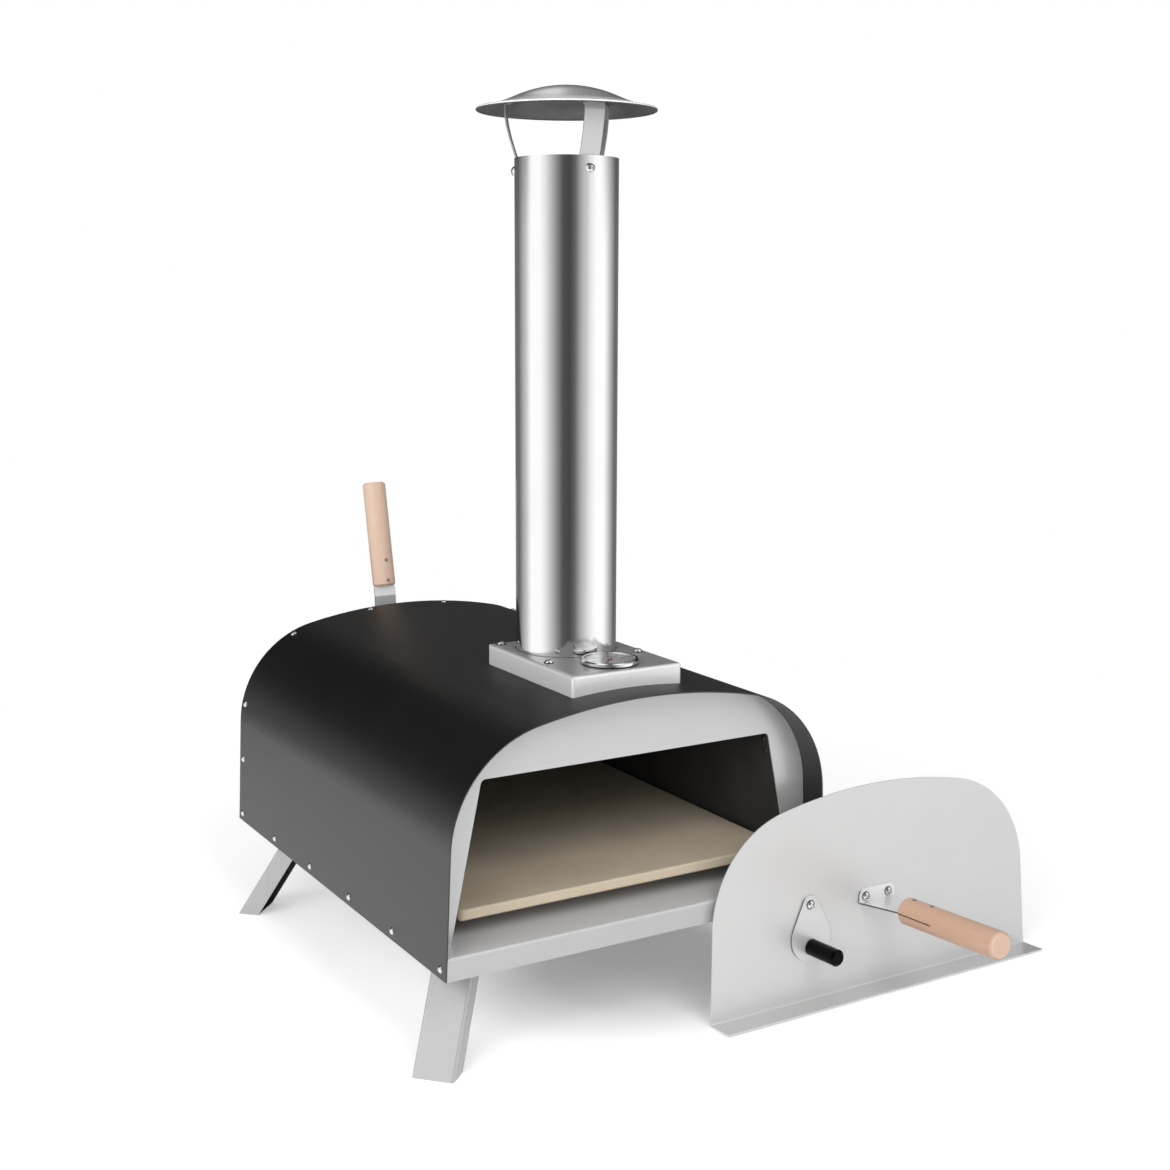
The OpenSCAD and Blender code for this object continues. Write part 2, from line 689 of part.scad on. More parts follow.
module inner_liner() {
    throat_top = chute_floor(liner_back) + chute_open + 2*drop_full() + slide_gap;
    guides_w = tray_w + 2*(guide_foot + 2*slide_gap);
    color("#1c1c1d") difference() {
        along_y(liner_front, liner_back) mouth_2d(liner_t, lip_h);
        along_y(liner_front - over, liner_back - liner_t) mouth_2d(0, lip_h - over);
        span_box(hopper_out + 2, liner_back - 2*liner_t, liner_back + over, deck_z - over,
            leg_clear + throat_top);
        span_box(guides_w, liner_back - 2*liner_t, liner_back + over, deck_z - over,
            deck_z + rail_t + slide_gap);
        translate([0, flue_y, leg_clear + mouth_top - over]) cylinder(d = collar_d, h = 4*over);
        translate([0, dial_y, leg_clear + mouth_top - over]) cylinder(d = stem_d, h = 4*over);
        at_liner_screws() cylinder(d = screw_d - 1, h = 6*(liner_t + face_t), center = true);
    }
}

module insulation_blanket() {
    front = face_y + face_flange + 2;
    color("#e8e2d4") difference() {
        along_y(front, liner_back) arch_2d(shell_t + blanket_gap, lip_h + 1);
        along_y(front - over, liner_back + over) mouth_2d(liner_t + blanket_gap, lip_h - over);
        translate([0, flue_y, leg_clear]) cylinder(d = collar_d + 4, h = shell_h);
        translate([0, dial_y, leg_clear]) cylinder(d = spigot_d + 10, h = shell_h);
    }
}

module stone_rails() {
    color("#777777") for (s = SIDES)
        along_y(stone_front + rail_margin, stone_back - rail_margin) translate([s*rail_gap/2, lip_h])
            difference() {
                union() {
                    translate([-rail_w/2, 0]) square([rail_w, stone_rise]);
                    translate([-rail_w/2 - rail_foot, 0]) square([rail_w + 2*rail_foot, rail_t]);
                }
                translate([-rail_w/2 + rail_t, -over])
                    square([rail_w - 2*rail_t, stone_rise - rail_t + over]);
            }
}

module flame_guard() {
    color("#777777") union() {
        span_box(guard_w, guard_y, guard_y + rail_t, deck_z, deck_z + guard_h);
        span_box(guard_w, guard_y + rail_t - guard_foot, guard_y + rail_t, deck_z, deck_z + rail_t);
    }
}

module pizza_stone() {
    module edge() translate([0, stone_t/2]) rounded_rect(stone_l, stone_t, stone_edge);
    color("#cfc0a0") translate([0, (stone_front + stone_back)/2, deck_z + stone_rise]) intersection() {
        linear_extrude(stone_t) rounded_rect(stone_l, stone_l, stone_corner);
        along_x(2*stone_l) edge();
        rotate([0, 0, 90]) along_x(2*stone_l) edge();
    }
}

module side_rivets() {
    color("#e0e0e0") at_side_rivets() rivet(shell_t + base_t);
}

module rear_rivets() {
    color("#e0e0e0") at_rear_rivets() rivet(shell_t + rear_t + curve_slack);
}

module liner_screws() {
    d = screw_d - 1;
    color("#1a1a1a") at_liner_screws() {
        mirror([0, 0, 1]) pan_screw(liner_t + face_t + nut_h + 1, 7, d);
        translate([0, 0, liner_t + face_t]) hex_nut(d);
    }
}

// ---- flue, rain cap and thermometer ----

module flue_base() {
    roof = leg_clear + roof_cz;
    // the folded box, its sheet's inside moved in by inset
    module box(inset, r) intersection() {
        w = flue_base_w - 2*inset;
        l = flue_base_l - 2*inset;
        low = leg_clear + mouth_top - inset;
        high = flue_top - inset;
        translate([0, flue_front + flue_base_l/2, low]) linear_extrude(high - low) rounded_rect(w, l, r);
        along_x(2*w) folded(flue_front + inset, flue_front + inset + l, low, high, r);
        translate([0, flue_front + flue_base_l, 0]) rotate([90, 0, 0]) linear_extrude(flue_base_l)
            folded(-w/2, w/2, low, high, r);
    }
    color("#bcbcbc") difference() {
        box(0, fold_r + flue_t);
        box(flue_t, fold_r);
        translate([0, flue_front - over, roof]) rotate([-90, 0, 0])
            cylinder(r = roof_r, h = flue_base_l + 2*over);
        translate([0, flue_y, roof]) cylinder(d = pipe_d + 2*pipe_gap, h = 2*roof_r);
        translate([0, dial_y, roof]) cylinder(d = spigot_d, h = 2*roof_r);
        at_flue_screws() cylinder(d = screw_d, h = 4*flue_t, center = true);
    }
}

module flue_collar() {
    w = flue_base_w - 2*(flue_t + fold_r);
    l = 2*(flue_screw_r + flue_screw_end - flue_t - fold_r);
    seat = flue_top - 2*flue_t;
    low = leg_clear + mouth_top;
    color("#a8a8a8") difference() {
        union() {
            translate([-w/2, flue_screw_y - l/2, seat]) cube([w, l, flue_t]);
            translate([0, flue_y, low]) cylinder(d = collar_d, h = flue_top + collar_reach - low);
        }
        translate([0, flue_y, low - over])
            cylinder(d = collar_d - 2*collar_t, h = flue_top + collar_reach - low + 2*over);
        at_flue_screws() cylinder(d = screw_d, h = 6*flue_t, center = true);
    }
}

module flue_pipe() {
    color("#e2e2e2") translate([0, flue_y, pipe_foot]) difference() {
        cylinder(d = pipe_d, h = pipe_l);
        translate([0, 0, -over]) cylinder(d = pipe_d - 2*pipe_t, h = pipe_l + 2*over);
        for (a = cap_leg_turns) rotate([0, 0, a]) translate([cap_leg_r, 0, pipe_l - cap_screw_drop])
            rotate([0, 90, 0]) cylinder(d = screw_d - 1, h = 10, center = true);
    }
}

module flue_screws() {
    color("#e6e6e6") at_flue_screws() pan_screw(2*flue_t + nut_h + 1.5);
}

module flue_nuts() {
    color("#c0c0c0") at_flue_screws() translate([0, 0, -2*flue_t - nut_h]) hex_nut();
}

// Underside height of the cap at radius r
function cap_under(r) = r < (cap_crown - cap_t)*sin(cap_steep)
    ? cap_crown_z + sqrt(pow(cap_crown - cap_t, 2) - r*r)
    : cap_brim_z - sqrt(pow(cap_brim + cap_t, 2) - pow(cap_brim_r - r, 2));

module cap_legs() {
    t = cap_leg_t;
    r0 = cap_leg_r - t/2;
    r1 = r0 + cap_leg_spread;
    ends = [for (r = [r1, r1 - cap_tab]) [r, cap_under(r)]];
    tab = (ends[0] - ends[1])/norm(ends[0] - ends[1]);
    sag = -tab[1]*pow(cap_leg_w/2, 2)/(2*r1 - cap_tab);     // the cap drops this much at the tab's edges
    down = (t/2 + 1.2*sag)*[tab[1], -tab[0]];
    top = ends[0] + down;
    low = pipe_top - 2;
    // the leg springs outward from the pipe and is nearly upright where it meets the cap
    curve = [for (u = [0:0.2:0.8]) [r0 + cap_leg_spread*sin(90*u), low + u*(top[1] - low)]];
    color("#b4b4b4") at_cap_legs() difference() {
        bent_strip([top, ends[1] + down], t, cap_leg_w, concat([[r0, pipe_top - cap_leg_drop]], curve));
        translate([cap_leg_r, 0, pipe_top - cap_screw_drop]) rotate([0, 90, 0])
            cylinder(d = screw_d - 1, h = 10, center = true);
    }
}

module rain_cap() {
    module sheet(centre, inner, from, to) intersection() {
        translate(centre) difference() {
            circle(inner + cap_t, $fn = 360);
            circle(inner, $fn = 360);
        }
        translate(centre) polygon([[0, 0], 2*inner*[cos(from), sin(from)], 2*inner*[cos(to), sin(to)]]);
        translate([0, cap_z - cap_h]) square([cap_r - cap_hem, 2*cap_h + cap_crown]);
    }
    color("#c4c4c4") translate([0, flue_y, 0]) rotate_extrude() {
        sheet([0, cap_crown_z], cap_crown - cap_t, 90 - cap_steep, 100);
        sheet([cap_brim_r, cap_brim_z], cap_brim, 270 - cap_steep, 271 - cap_flat/2);
        translate([cap_r - cap_hem, cap_z]) circle(cap_hem);
    }
}

module cap_screws() {
    d = screw_d - 1;
    color("#e6e6e6") at_cap_legs() translate([pipe_d/2, 0, pipe_top - cap_screw_drop])
        rotate([0, 90, 0]) {
            pan_screw(pipe_t + cap_leg_t + nut_h + 2, 9, d);
            translate([0, 0, cap_leg_r - cap_leg_t - pipe_d/2 - nut_h]) hex_nut(d);
        }
}

module thermometer_case() {
    r = dial_d/2;
    color("#d8d8d8") translate([0, dial_y, flue_top]) union() {
        rotate_extrude() polygon([[spigot_d/2 - 0.5, 0], [r, 0], [r, bezel_h - 1], [r - 1, bezel_h],
            [r - bezel_lip, bezel_h], [r - bezel_lip, bezel_h - 0.6], [r - case_wall, bezel_h - 0.6],
            [r - case_wall, case_floor], [0, case_floor], [0, 0]]);
        translate([0, 0, -spigot_l]) cylinder(d = spigot_d, h = spigot_l);
        translate([0, 0, stem_end - flue_top]) cylinder(d = stem_d, h = flue_top - stem_end);
    }
}

module thermometer_dial() {
    color("#f4f4f0") translate([0, dial_y, dial_z]) union() {
        cylinder(d = dial_d - 2*case_wall, h = dial_t);
        cylinder(d = needle_pin_d, h = needle_z + needle_t + 0.2 - dial_z);
    }
}

module thermometer_needle() {
    tip = 0.36*dial_d;
    tail = 0.12*dial_d;
    color("#c01818") translate([0, dial_y, needle_z]) rotate([0, 0, 135]) difference() {
        linear_extrude(needle_t) {
            circle(2.2);
            polygon([[-1, -tail], [1, -tail], [0.3, tip], [-0.3, tip]]);
        }
        translate([0, 0, -over]) cylinder(d = needle_pin_d + 2*run_gap, h = needle_t + 2*over);
    }
}

module thermometer_glass() {
    color("#cfe0e6") translate([0, dial_y, glass_z]) cylinder(d = dial_d - 2*case_wall, h = glass_t);
}

module thermometer_nut() {
    color("#b0b0b0") translate([0, dial_y, flue_top - flue_t - nut_h]) difference() {
        cylinder(d = spigot_d + 6, h = nut_h, $fn = 6);
        translate([0, 0, -over]) cylinder(d = spigot_d, h = nut_h + 2*over);
    }
}

// ---- legs ----

// Place in a leg's X-Z plane: s along the standing leg from its pin, p square to it and outward
function leg_pt(s, p) = [s*sin(leg_tilt) + p*cos(leg_tilt), p*sin(leg_tilt) - s*cos(leg_tilt)];

module leg(i) {
    web_in = leg_web_off - leg_t;
    clip = 0.52*leg_in;    // the flanges' upper corners are cut off by this much
    module slab(w, points, low) intersection() {
        translate([0, w/2, 0]) rotate([90, 0, 0]) linear_extrude(w)
            polygon([for (q = points) leg_pt(q[0], q[1])]);
        translate([-leg_long, -leg_w, low - leg_pin_z]) cube([2*leg_long, 2*leg_w, 2*leg_long]);
    }
    // the channel's section with its web at p and folds of radius r, run along the leg
    module channel(w, p, r) rotate([0, -leg_tilt, 0]) translate([0, 0, -leg_long])
        linear_extrude(2*leg_long) rotate([0, 0, -90]) folded(-w/2, w/2, -leg_long, p, r);
    color("#cccccc") at_leg(i) difference() {
        intersection() {
            slab(leg_w, [[-leg_top, leg_long], [leg_long, leg_long], [leg_long, -leg_in],
                [clip - leg_top, -leg_in], [-leg_top, clip - leg_in]], 0);
            channel(leg_w, leg_web_off, leg_fold + leg_t);
        }
        intersection() {
            slab(leg_w, [[-leg_long, leg_long], [leg_long, leg_long], [leg_long, -leg_long],
                [-leg_long, -leg_long]], leg_t);
            channel(leg_inner_w, web_in, leg_fold);
        }
        rotate([90, 0, 0]) cylinder(d = leg_pin_d + 2*run_gap, h = 2*leg_w, center = true);
    }
}

module leg_front_left() leg(0);
module leg_front_right() leg(1);
module leg_rear_left() leg(2);
module leg_rear_right() leg(3);

module leg_brackets() {
    top = leg_pin_drop;
    back = -16;
    far = leg_w;           // past the bracket's ends
    color("#9a9a9a") for (i = [0:3]) at_leg(i) difference() {
        translate([0, bracket_w/2, 0]) rotate([90, 0, 0]) linear_extrude(bracket_w) {
            circle(bracket_eye);
            polygon([[bracket_eye/2, bracket_eye/2], [-1, top], [back, top], [back, top - 3],
                [-bracket_eye/2, -bracket_eye/2]]);
        }
        translate([0, bracket_w/2 - bracket_t, 0]) rotate([90, 0, 0])
            linear_extrude(bracket_w - 2*bracket_t)
                translate([-far, -far]) square([2*far, far + top - bracket_t]);
        rotate([90, 0, 0]) cylinder(d = leg_pin_d, h = 2*leg_w, center = true);
    }
}

module leg_pins() {
    head_t = 1.6;
    color("#e0e0e0") for (i = [0:3]) at_leg(i) rotate([90, 0, 0]) union() {
        cylinder(d = leg_pin_d, h = leg_w + 2*slide_gap + 2*head_t, center = true);
        for (s = SIDES) translate([0, 0, s*(leg_w/2 + slide_gap + head_t/2)])
            cylinder(d = leg_pin_d + 3, h = head_t, center = true);
    }
}

// ---- door ----

module door_panel() {
    r = fold_r + door_t;
    color("#d4d4d4") on_door() difference() {
        intersection() {
            rotate([90, 0, 0]) linear_extrude(door_flange) translate([0, -lip_h]) arch_2d(door_in, lip_h);
            along_x(2*shell_w) union() {
                translate([-door_t, r]) square([door_t, shell_h]);
                translate([-door_flange, 0]) square([door_flange - r, door_t]);
                translate([-r, r]) intersection() {
                    difference() {
                        circle(r);
                        circle(fold_r);
                    }
                    translate([0, -r]) square(r);
                }
            }
        }
        translate([-peep_x, 0, peep_h]) rotate([90, 0, 0]) cylinder(d = peep_d, h = 4*door_t, center = true);
        translate([-peep_x, 0, peep_pivot_h]) rotate([90, 0, 0])
            cylinder(d = screw_d, h = 4*door_t, center = true);
        for (s = SIDES) translate([s*door_screw_x, 0, door_screw_h]) rotate([90, 0, 0])
            cylinder(d = screw_d, h = 4*door_t, center = true);
    }
}

module door_handle_bracket() {
    r = 0.5*bracket_h;
    bottom = handle_h - strip_t/2;
    ahead = grip_off - door_t;
    color("#cfcfcf") on_door() translate([0, -door_t, 0]) difference() {
        union() {
            rotate([90, 0, 0]) linear_extrude(strip_t) {
                translate([-bracket_half, bottom]) square([2*bracket_half, bracket_h - r]);
                translate([-bracket_half + r, bottom]) square([2*(bracket_half - r), bracket_h]);
                for (s = SIDES) translate([s*(bracket_half - r), bottom + bracket_h - r]) circle(r);
            }
            translate([0, 0, bottom]) linear_extrude(strip_t) polygon([[-bracket_half, 0],
                [bracket_half, 0], [strip_half, -ahead], [strip_half, -ahead - strip_in],
                [-strip_half, -ahead - strip_in], [-strip_half, -ahead]]);
        }
        for (s = SIDES) translate([s*door_screw_x, 0, door_screw_h]) rotate([90, 0, 0])
            cylinder(d = screw_d, h = 6*strip_t, center = true);
        on_door_grip(door_t) grip_pins(door_pin);
    }
}

// A frame at the near end of the door's grip, with +Z forward along it
module on_door_grip(shift = 0) {
    translate([0, shift - grip_off, handle_h]) rotate([90, 0, 0]) children();
}

module door_handle_grip() {
    color("#dcb894") on_door() on_door_grip() wood_grip(grip_l, door_pin);
}

module door_handle_pins() {
    color("#c8b090") on_door() on_door_grip() grip_pins(door_pin);
}

module door_screws() {
    color("#e6e6e6") on_door() for (s = SIDES) translate([s*door_screw_x, 0, door_screw_h])
        rotate([90, 0, 0]) {
            translate([0, 0, door_t + strip_t]) pan_screw(door_t + strip_t + nut_h + 1);
            mirror([0, 0, 1]) hex_nut();
        }
}

module peephole_pivot_screw() {
    stand = door_t + 2*cover_gap + cover_t;
    color("#e6e6e6") on_door() translate([-peep_x, 0, peep_pivot_h]) rotate([90, 0, 0]) {
        translate([0, 0, stand]) pan_screw(stand + nut_h + 1);
        mirror([0, 0, 1]) hex_nut();
    }
}

// The cover's own frame: origin on its pivot, +Z out of the door's front, +Y up
module on_cover() {
    on_door() translate([-peep_x, -door_t - cover_gap, peep_pivot_h]) rotate([90, 0, 0]) children();
}

module peephole_cover() {
    n = [cos(cover_turn), sin(cover_turn)];
    low = [0, -peep_pivot];
    m = [-n[0], n[1]];
    color("#d0d0d0") on_cover() difference() {
        linear_extrude(cover_t) {
            circle(cover_top_r + blend);
            translate(low) circle(cover_r + blend);
            polygon([cover_top_r*n, cover_top_r*m, low + cover_r*m, low, low + cover_r*n]);
        }
        translate([0, 0, -over]) cylinder(d = screw_d + 2*run_gap, h = cover_t + 2*over);
        translate([0, knob_h - peep_pivot_h, -over]) cylinder(d = knob_spigot, h = cover_t + 2*over);
    }
}

module peephole_knob() {
    r = knob_d/2;
    color("#141414") on_cover() translate([0, knob_h - peep_pivot_h, 0]) rotate_extrude()
        polygon([[0, 0], [knob_spigot/2, 0], [knob_spigot/2, cover_t], [r - 1.2, cover_t],
            [r, cover_t + 1.2], [r, cover_t + knob_l - 2], [r - 2, cover_t + knob_l], [0, cover_t + knob_l]]);
}

// ---- hopper and burner tray ----

// Height of the chute's outer floor at depth y
function chute_floor(y) = chute_low + (y - chute_y)*chute_rise;

// The hopper's side view: an upright bin on a sloped duct; wall is taken off all round
module hopper_profile(wall, run) {
    drop = wall/cos(chute_slope);
    duct = chute_open + 2*drop_full();
    y_in = back_y + wall;
    y_out = hopper_back - wall;
    y_end = chute_y - run;
    polygon([[y_in, hopper_top + run], [y_out, hopper_top + run],
        [y_out, chute_floor(y_out) + drop], [y_end, chute_floor(y_end) + drop],
        [y_end, chute_floor(y_end) + duct - drop], [y_in, chute_floor(y_in) + duct - drop]]);
}
function drop_full() = hopper_t/cos(chute_slope);

// Extrudes the side view across a width, centred on x = 0
module hopper_solid(w, wall, run) {
    translate([-w/2, 0, leg_clear]) rotate([90, 0, 90]) linear_extrude(w) hopper_profile(wall, run);
}

// The stretch of duct that passes through the rear panel
module hopper_sweep(w, grow) {
    intersection() {
        hopper_solid(w, 0, over);
        span_box(w, tray_back - over, back_y, leg_clear, leg_clear + hopper_top - grow);
    }
}

module at_hopper_screws() {
    low = leg_clear + chute_floor(back_y) + 8;
    high = leg_clear + hopper_top - 14;
    for (s = SIDES, z = [low, high])
        translate([s*(hopper_out/2 + hopper_flange/2), back_y, z]) children();
}

module fuel_hopper() {
    plate_low = leg_clear + chute_floor(back_y);
    color("#3a3a3c") difference() {
        union() {
            hopper_solid(hopper_out, 0, 0);
            span_box(hopper_out + 2*hopper_flange, back_y, back_y + hopper_t, plate_low,
                leg_clear + hopper_top);
            for (s = SIDES) translate([s*(hopper_out - hopper_t)/2, lid_pin_y, lid_pin_z])
                rotate([90, 0, 90]) translate([0, 0, -hopper_t/2]) linear_extrude(hopper_t) {
                    circle(hinge_eye);
                    polygon([[0, 0], [-hinge_out - hopper_t, hinge_drop], [-hinge_out - hopper_t, -14],
                        [hinge_eye/2, -hinge_eye/2]]);
                }
        }
        hopper_solid(hopper_w, hopper_t, over);
        translate([0, lid_pin_y, lid_pin_z]) rotate([0, 90, 0])
            cylinder(d = lid_pin_d, h = 2*hopper_out, center = true);
        at_hopper_screws() rotate([90, 0, 0]) cylinder(d = screw_d, h = hole_through, center = true);
    }
}

module hopper_screws() {
    color("#e6e6e6") at_hopper_screws() rotate([-90, 0, 0]) {
        translate([0, 0, hopper_t]) pan_screw(hopper_t + rear_t + nut_h + 1);
        translate([0, 0, -rear_t - nut_h]) hex_nut();
    }
}

module lid_hinge_pin() {
    head_t = 1.5;
    color("#e0e0e0") translate([0, lid_pin_y, lid_pin_z]) rotate([0, 90, 0]) union() {
        cylinder(d = lid_pin_d, h = lid_out + 2*slide_gap + 2*head_t, center = true);
        for (s = SIDES) translate([0, 0, s*(lid_out/2 + slide_gap + head_t/2)])
            cylinder(d = lid_pin_d + 3, h = head_t, center = true);
    }
}

module hopper_lid() {
    rear = hopper_back + 0.5;
    color("#3a3a3c") difference() {
        union() {
            span_box(lid_out, lid_front, rear, lid_z, lid_z + hopper_t);
            for (s = SIDES) translate([s*(lid_out - hopper_t)/2, 0, 0]) {
                span_box(hopper_t, lid_front, rear, lid_z - lid_lip, lid_z + hopper_t);
                span_box(hopper_t, rear - 1, lid_pin_y, lid_pin_z - hinge_eye, lid_pin_z + 1.5);
                translate([0, lid_pin_y, lid_pin_z]) rotate([0, 90, 0])
                    cylinder(r = hinge_eye, h = hopper_t, center = true);
            }
        }
        translate([0, lid_pin_y, lid_pin_z]) rotate([0, 90, 0])
            cylinder(d = lid_pin_d + 2*run_gap, h = 2*hopper_out, center = true);
        at_lid_rivets() cylinder(d = rivet_d, h = 4*(hopper_t + strip_t), center = true);
    }
}

module at_lid_rivets() {
    for (s = SIDES) translate([s*8, lid_strip_y + lid_foot/2 + 2, lid_z + hopper_t + strip_t]) children();
}

// The strip stands on the lid by its foot, rises, leans back and ends in the grip's slot
module lid_handle_strip() {
    w = 2*lid_strip_half;
    foot_z = lid_z + hopper_t + strip_t/2;
    lean = [sin(lid_lean), cos(lid_lean)];
    bend = [lid_strip_y, lid_bend_z];
    color("#c8c8c8") difference() {
        rotate([0, 0, 90]) union() {
            bent_strip([[lid_strip_y + lid_foot, foot_z], [lid_strip_y, foot_z], bend,
                bend + lid_grip_off*lean], strip_t, w);
            bent_strip([bend, bend + 0.5*lid_grip_off*lean, bend + (lid_grip_off + strip_in)*lean],
                strip_t, 2*strip_half);
        }
        at_lid_rivets() cylinder(d = rivet_d, h = 4*strip_t, center = true);
        on_lid_grip() grip_pins(lid_pin);
    }
}

module lid_handle_grip() {
    color("#dcb894") on_lid_grip() wood_grip(lid_grip_l, lid_pin);
}

module lid_handle_pins() {
    color("#c8b090") on_lid_grip() grip_pins(lid_pin);
}

module lid_rivets() {
    color("#e0e0e0") at_lid_rivets() rivet(hopper_t + strip_t);
}

module tray_guides() {
    x = tray_w/2 + slide_gap;
    color("#777777") for (s = SIDES) mirror([s < 0 ? 1 : 0, 0, 0])
        translate([x, tray_front, deck_z]) {
            cube([rail_t, tray_back - tray_front - 1, guide_h]);
            cube([guide_foot, tray_back - tray_front - 1, rail_t]);
        }
}

module burner_tray() {
    end_w = tray_w + 2*tray_plate;
    end_y = back_y + slide_gap;
    color("#8a8a8a") difference() {
        union() {
            span_box(tray_w, tray_front, end_y + tray_t, tray_z, tray_z + tray_h);
            span_box(end_w, end_y, end_y + tray_t, deck_z - tray_plate, tray_z + tray_h - slide_gap);
        }
        span_box(tray_w - 2*tray_t, tray_front + tray_t, end_y, tray_z + tray_t, tray_z + tray_h + over);
        for (i = [-2:2]) translate([14*i, end_y, tray_z + 22]) rotate([90, 0, 0])
            cylinder(d = grate_hole_d, h = 6*tray_t, center = true);
        for (s = SIDES) translate([s*20, end_y, tray_z + 11]) rotate([90, 0, 0])
            cylinder(d = pull_wire, h = 6*tray_t, center = true);
    }
}

module burner_grate() {
    w = tray_w - 2*tray_t - 1;
    l = tray_l - 14;
    rows = floor((l - 2*grate_edge)/grate_step);
    first_y = (l - rows*grate_step)/2;
    y0 = tray_front + tray_t + 0.5;
    leg_w2 = 3;
    color("#5a5a5a") difference() {
        union() {
            span_box(w, y0, y0 + l, grate_z, grate_z + 1.5);
            for (y = [y0 + 4, y0 + l - 4 - leg_w2]) span_box(w - 8, y, y + leg_w2, tray_z + tray_t, grate_z);
        }
        for (i = [-3:3], j = [0:rows]) translate([grate_step*i, y0 + first_y + grate_step*j, grate_z])
            cylinder(d = grate_hole_d, h = 6, center = true);
    }
}

module burner_pull() {
    reach = 16;
    r = pull_wire/2;
    y0 = back_y + slide_gap;
    y1 = y0 + tray_t + reach;
    color("#d0d0d0") translate([0, 0, tray_z + 11]) union() {
        for (s = SIDES) {
            translate([s*20, y0, 0]) rotate([-90, 0, 0]) cylinder(r = r, h = y1 - y0);
            translate([s*20, y1, 0]) sphere(r);
        }
        translate([0, y1, 0]) rotate([0, 90, 0]) cylinder(r = r, h = 40, center = true);
    }
}

outer_shell();
base_tray();
front_face();
rear_panel();
inner_liner();
insulation_blanket();
stone_rails();
flame_guard();
pizza_stone();
side_rivets();
rear_rivets();
liner_screws();
flue_base();
flue_collar();
flue_pipe();
flue_screws();
flue_nuts();
cap_legs();
rain_cap();
cap_screws();
thermometer_case();
thermometer_dial();
thermometer_needle();
thermometer_glass();
thermometer_nut();
leg_brackets();
leg_pins();
leg_front_left();
leg_front_right();
leg_rear_left();
leg_rear_right();
door_panel();
door_handle_bracket();
door_handle_grip();
door_handle_pins();
door_screws();
peephole_pivot_screw();
peephole_cover();
peephole_knob();
fuel_hopper();
hopper_screws();
lid_hinge_pin();
hopper_lid();
lid_handle_strip();
lid_handle_grip();
lid_handle_pins();
lid_rivets();
tray_guides();
burner_tray();
burner_grate();
burner_pull();
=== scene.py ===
"""Looks of a table-top wood fired pizza oven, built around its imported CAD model. Metres, +Z up."""
import math

import bpy
import bmesh
from mathutils import Matrix, Vector

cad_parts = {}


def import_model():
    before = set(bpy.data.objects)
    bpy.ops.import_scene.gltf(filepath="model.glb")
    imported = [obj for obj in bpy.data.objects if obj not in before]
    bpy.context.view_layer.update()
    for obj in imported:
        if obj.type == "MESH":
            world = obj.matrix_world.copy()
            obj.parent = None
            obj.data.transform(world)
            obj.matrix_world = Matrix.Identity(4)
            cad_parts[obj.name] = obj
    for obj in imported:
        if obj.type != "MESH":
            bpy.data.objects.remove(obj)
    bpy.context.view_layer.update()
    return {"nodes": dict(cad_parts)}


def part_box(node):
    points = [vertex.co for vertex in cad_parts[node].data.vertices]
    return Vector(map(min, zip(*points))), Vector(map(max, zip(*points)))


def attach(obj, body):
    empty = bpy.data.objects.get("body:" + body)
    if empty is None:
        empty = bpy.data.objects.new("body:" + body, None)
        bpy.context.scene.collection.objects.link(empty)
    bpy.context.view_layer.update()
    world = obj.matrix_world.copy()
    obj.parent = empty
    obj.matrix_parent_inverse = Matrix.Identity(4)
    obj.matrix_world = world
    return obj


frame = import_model()
NODES = frame["nodes"]
scene = bpy.context.scene
MM = 0.001


# ---------------------------------------------------------------- node helpers

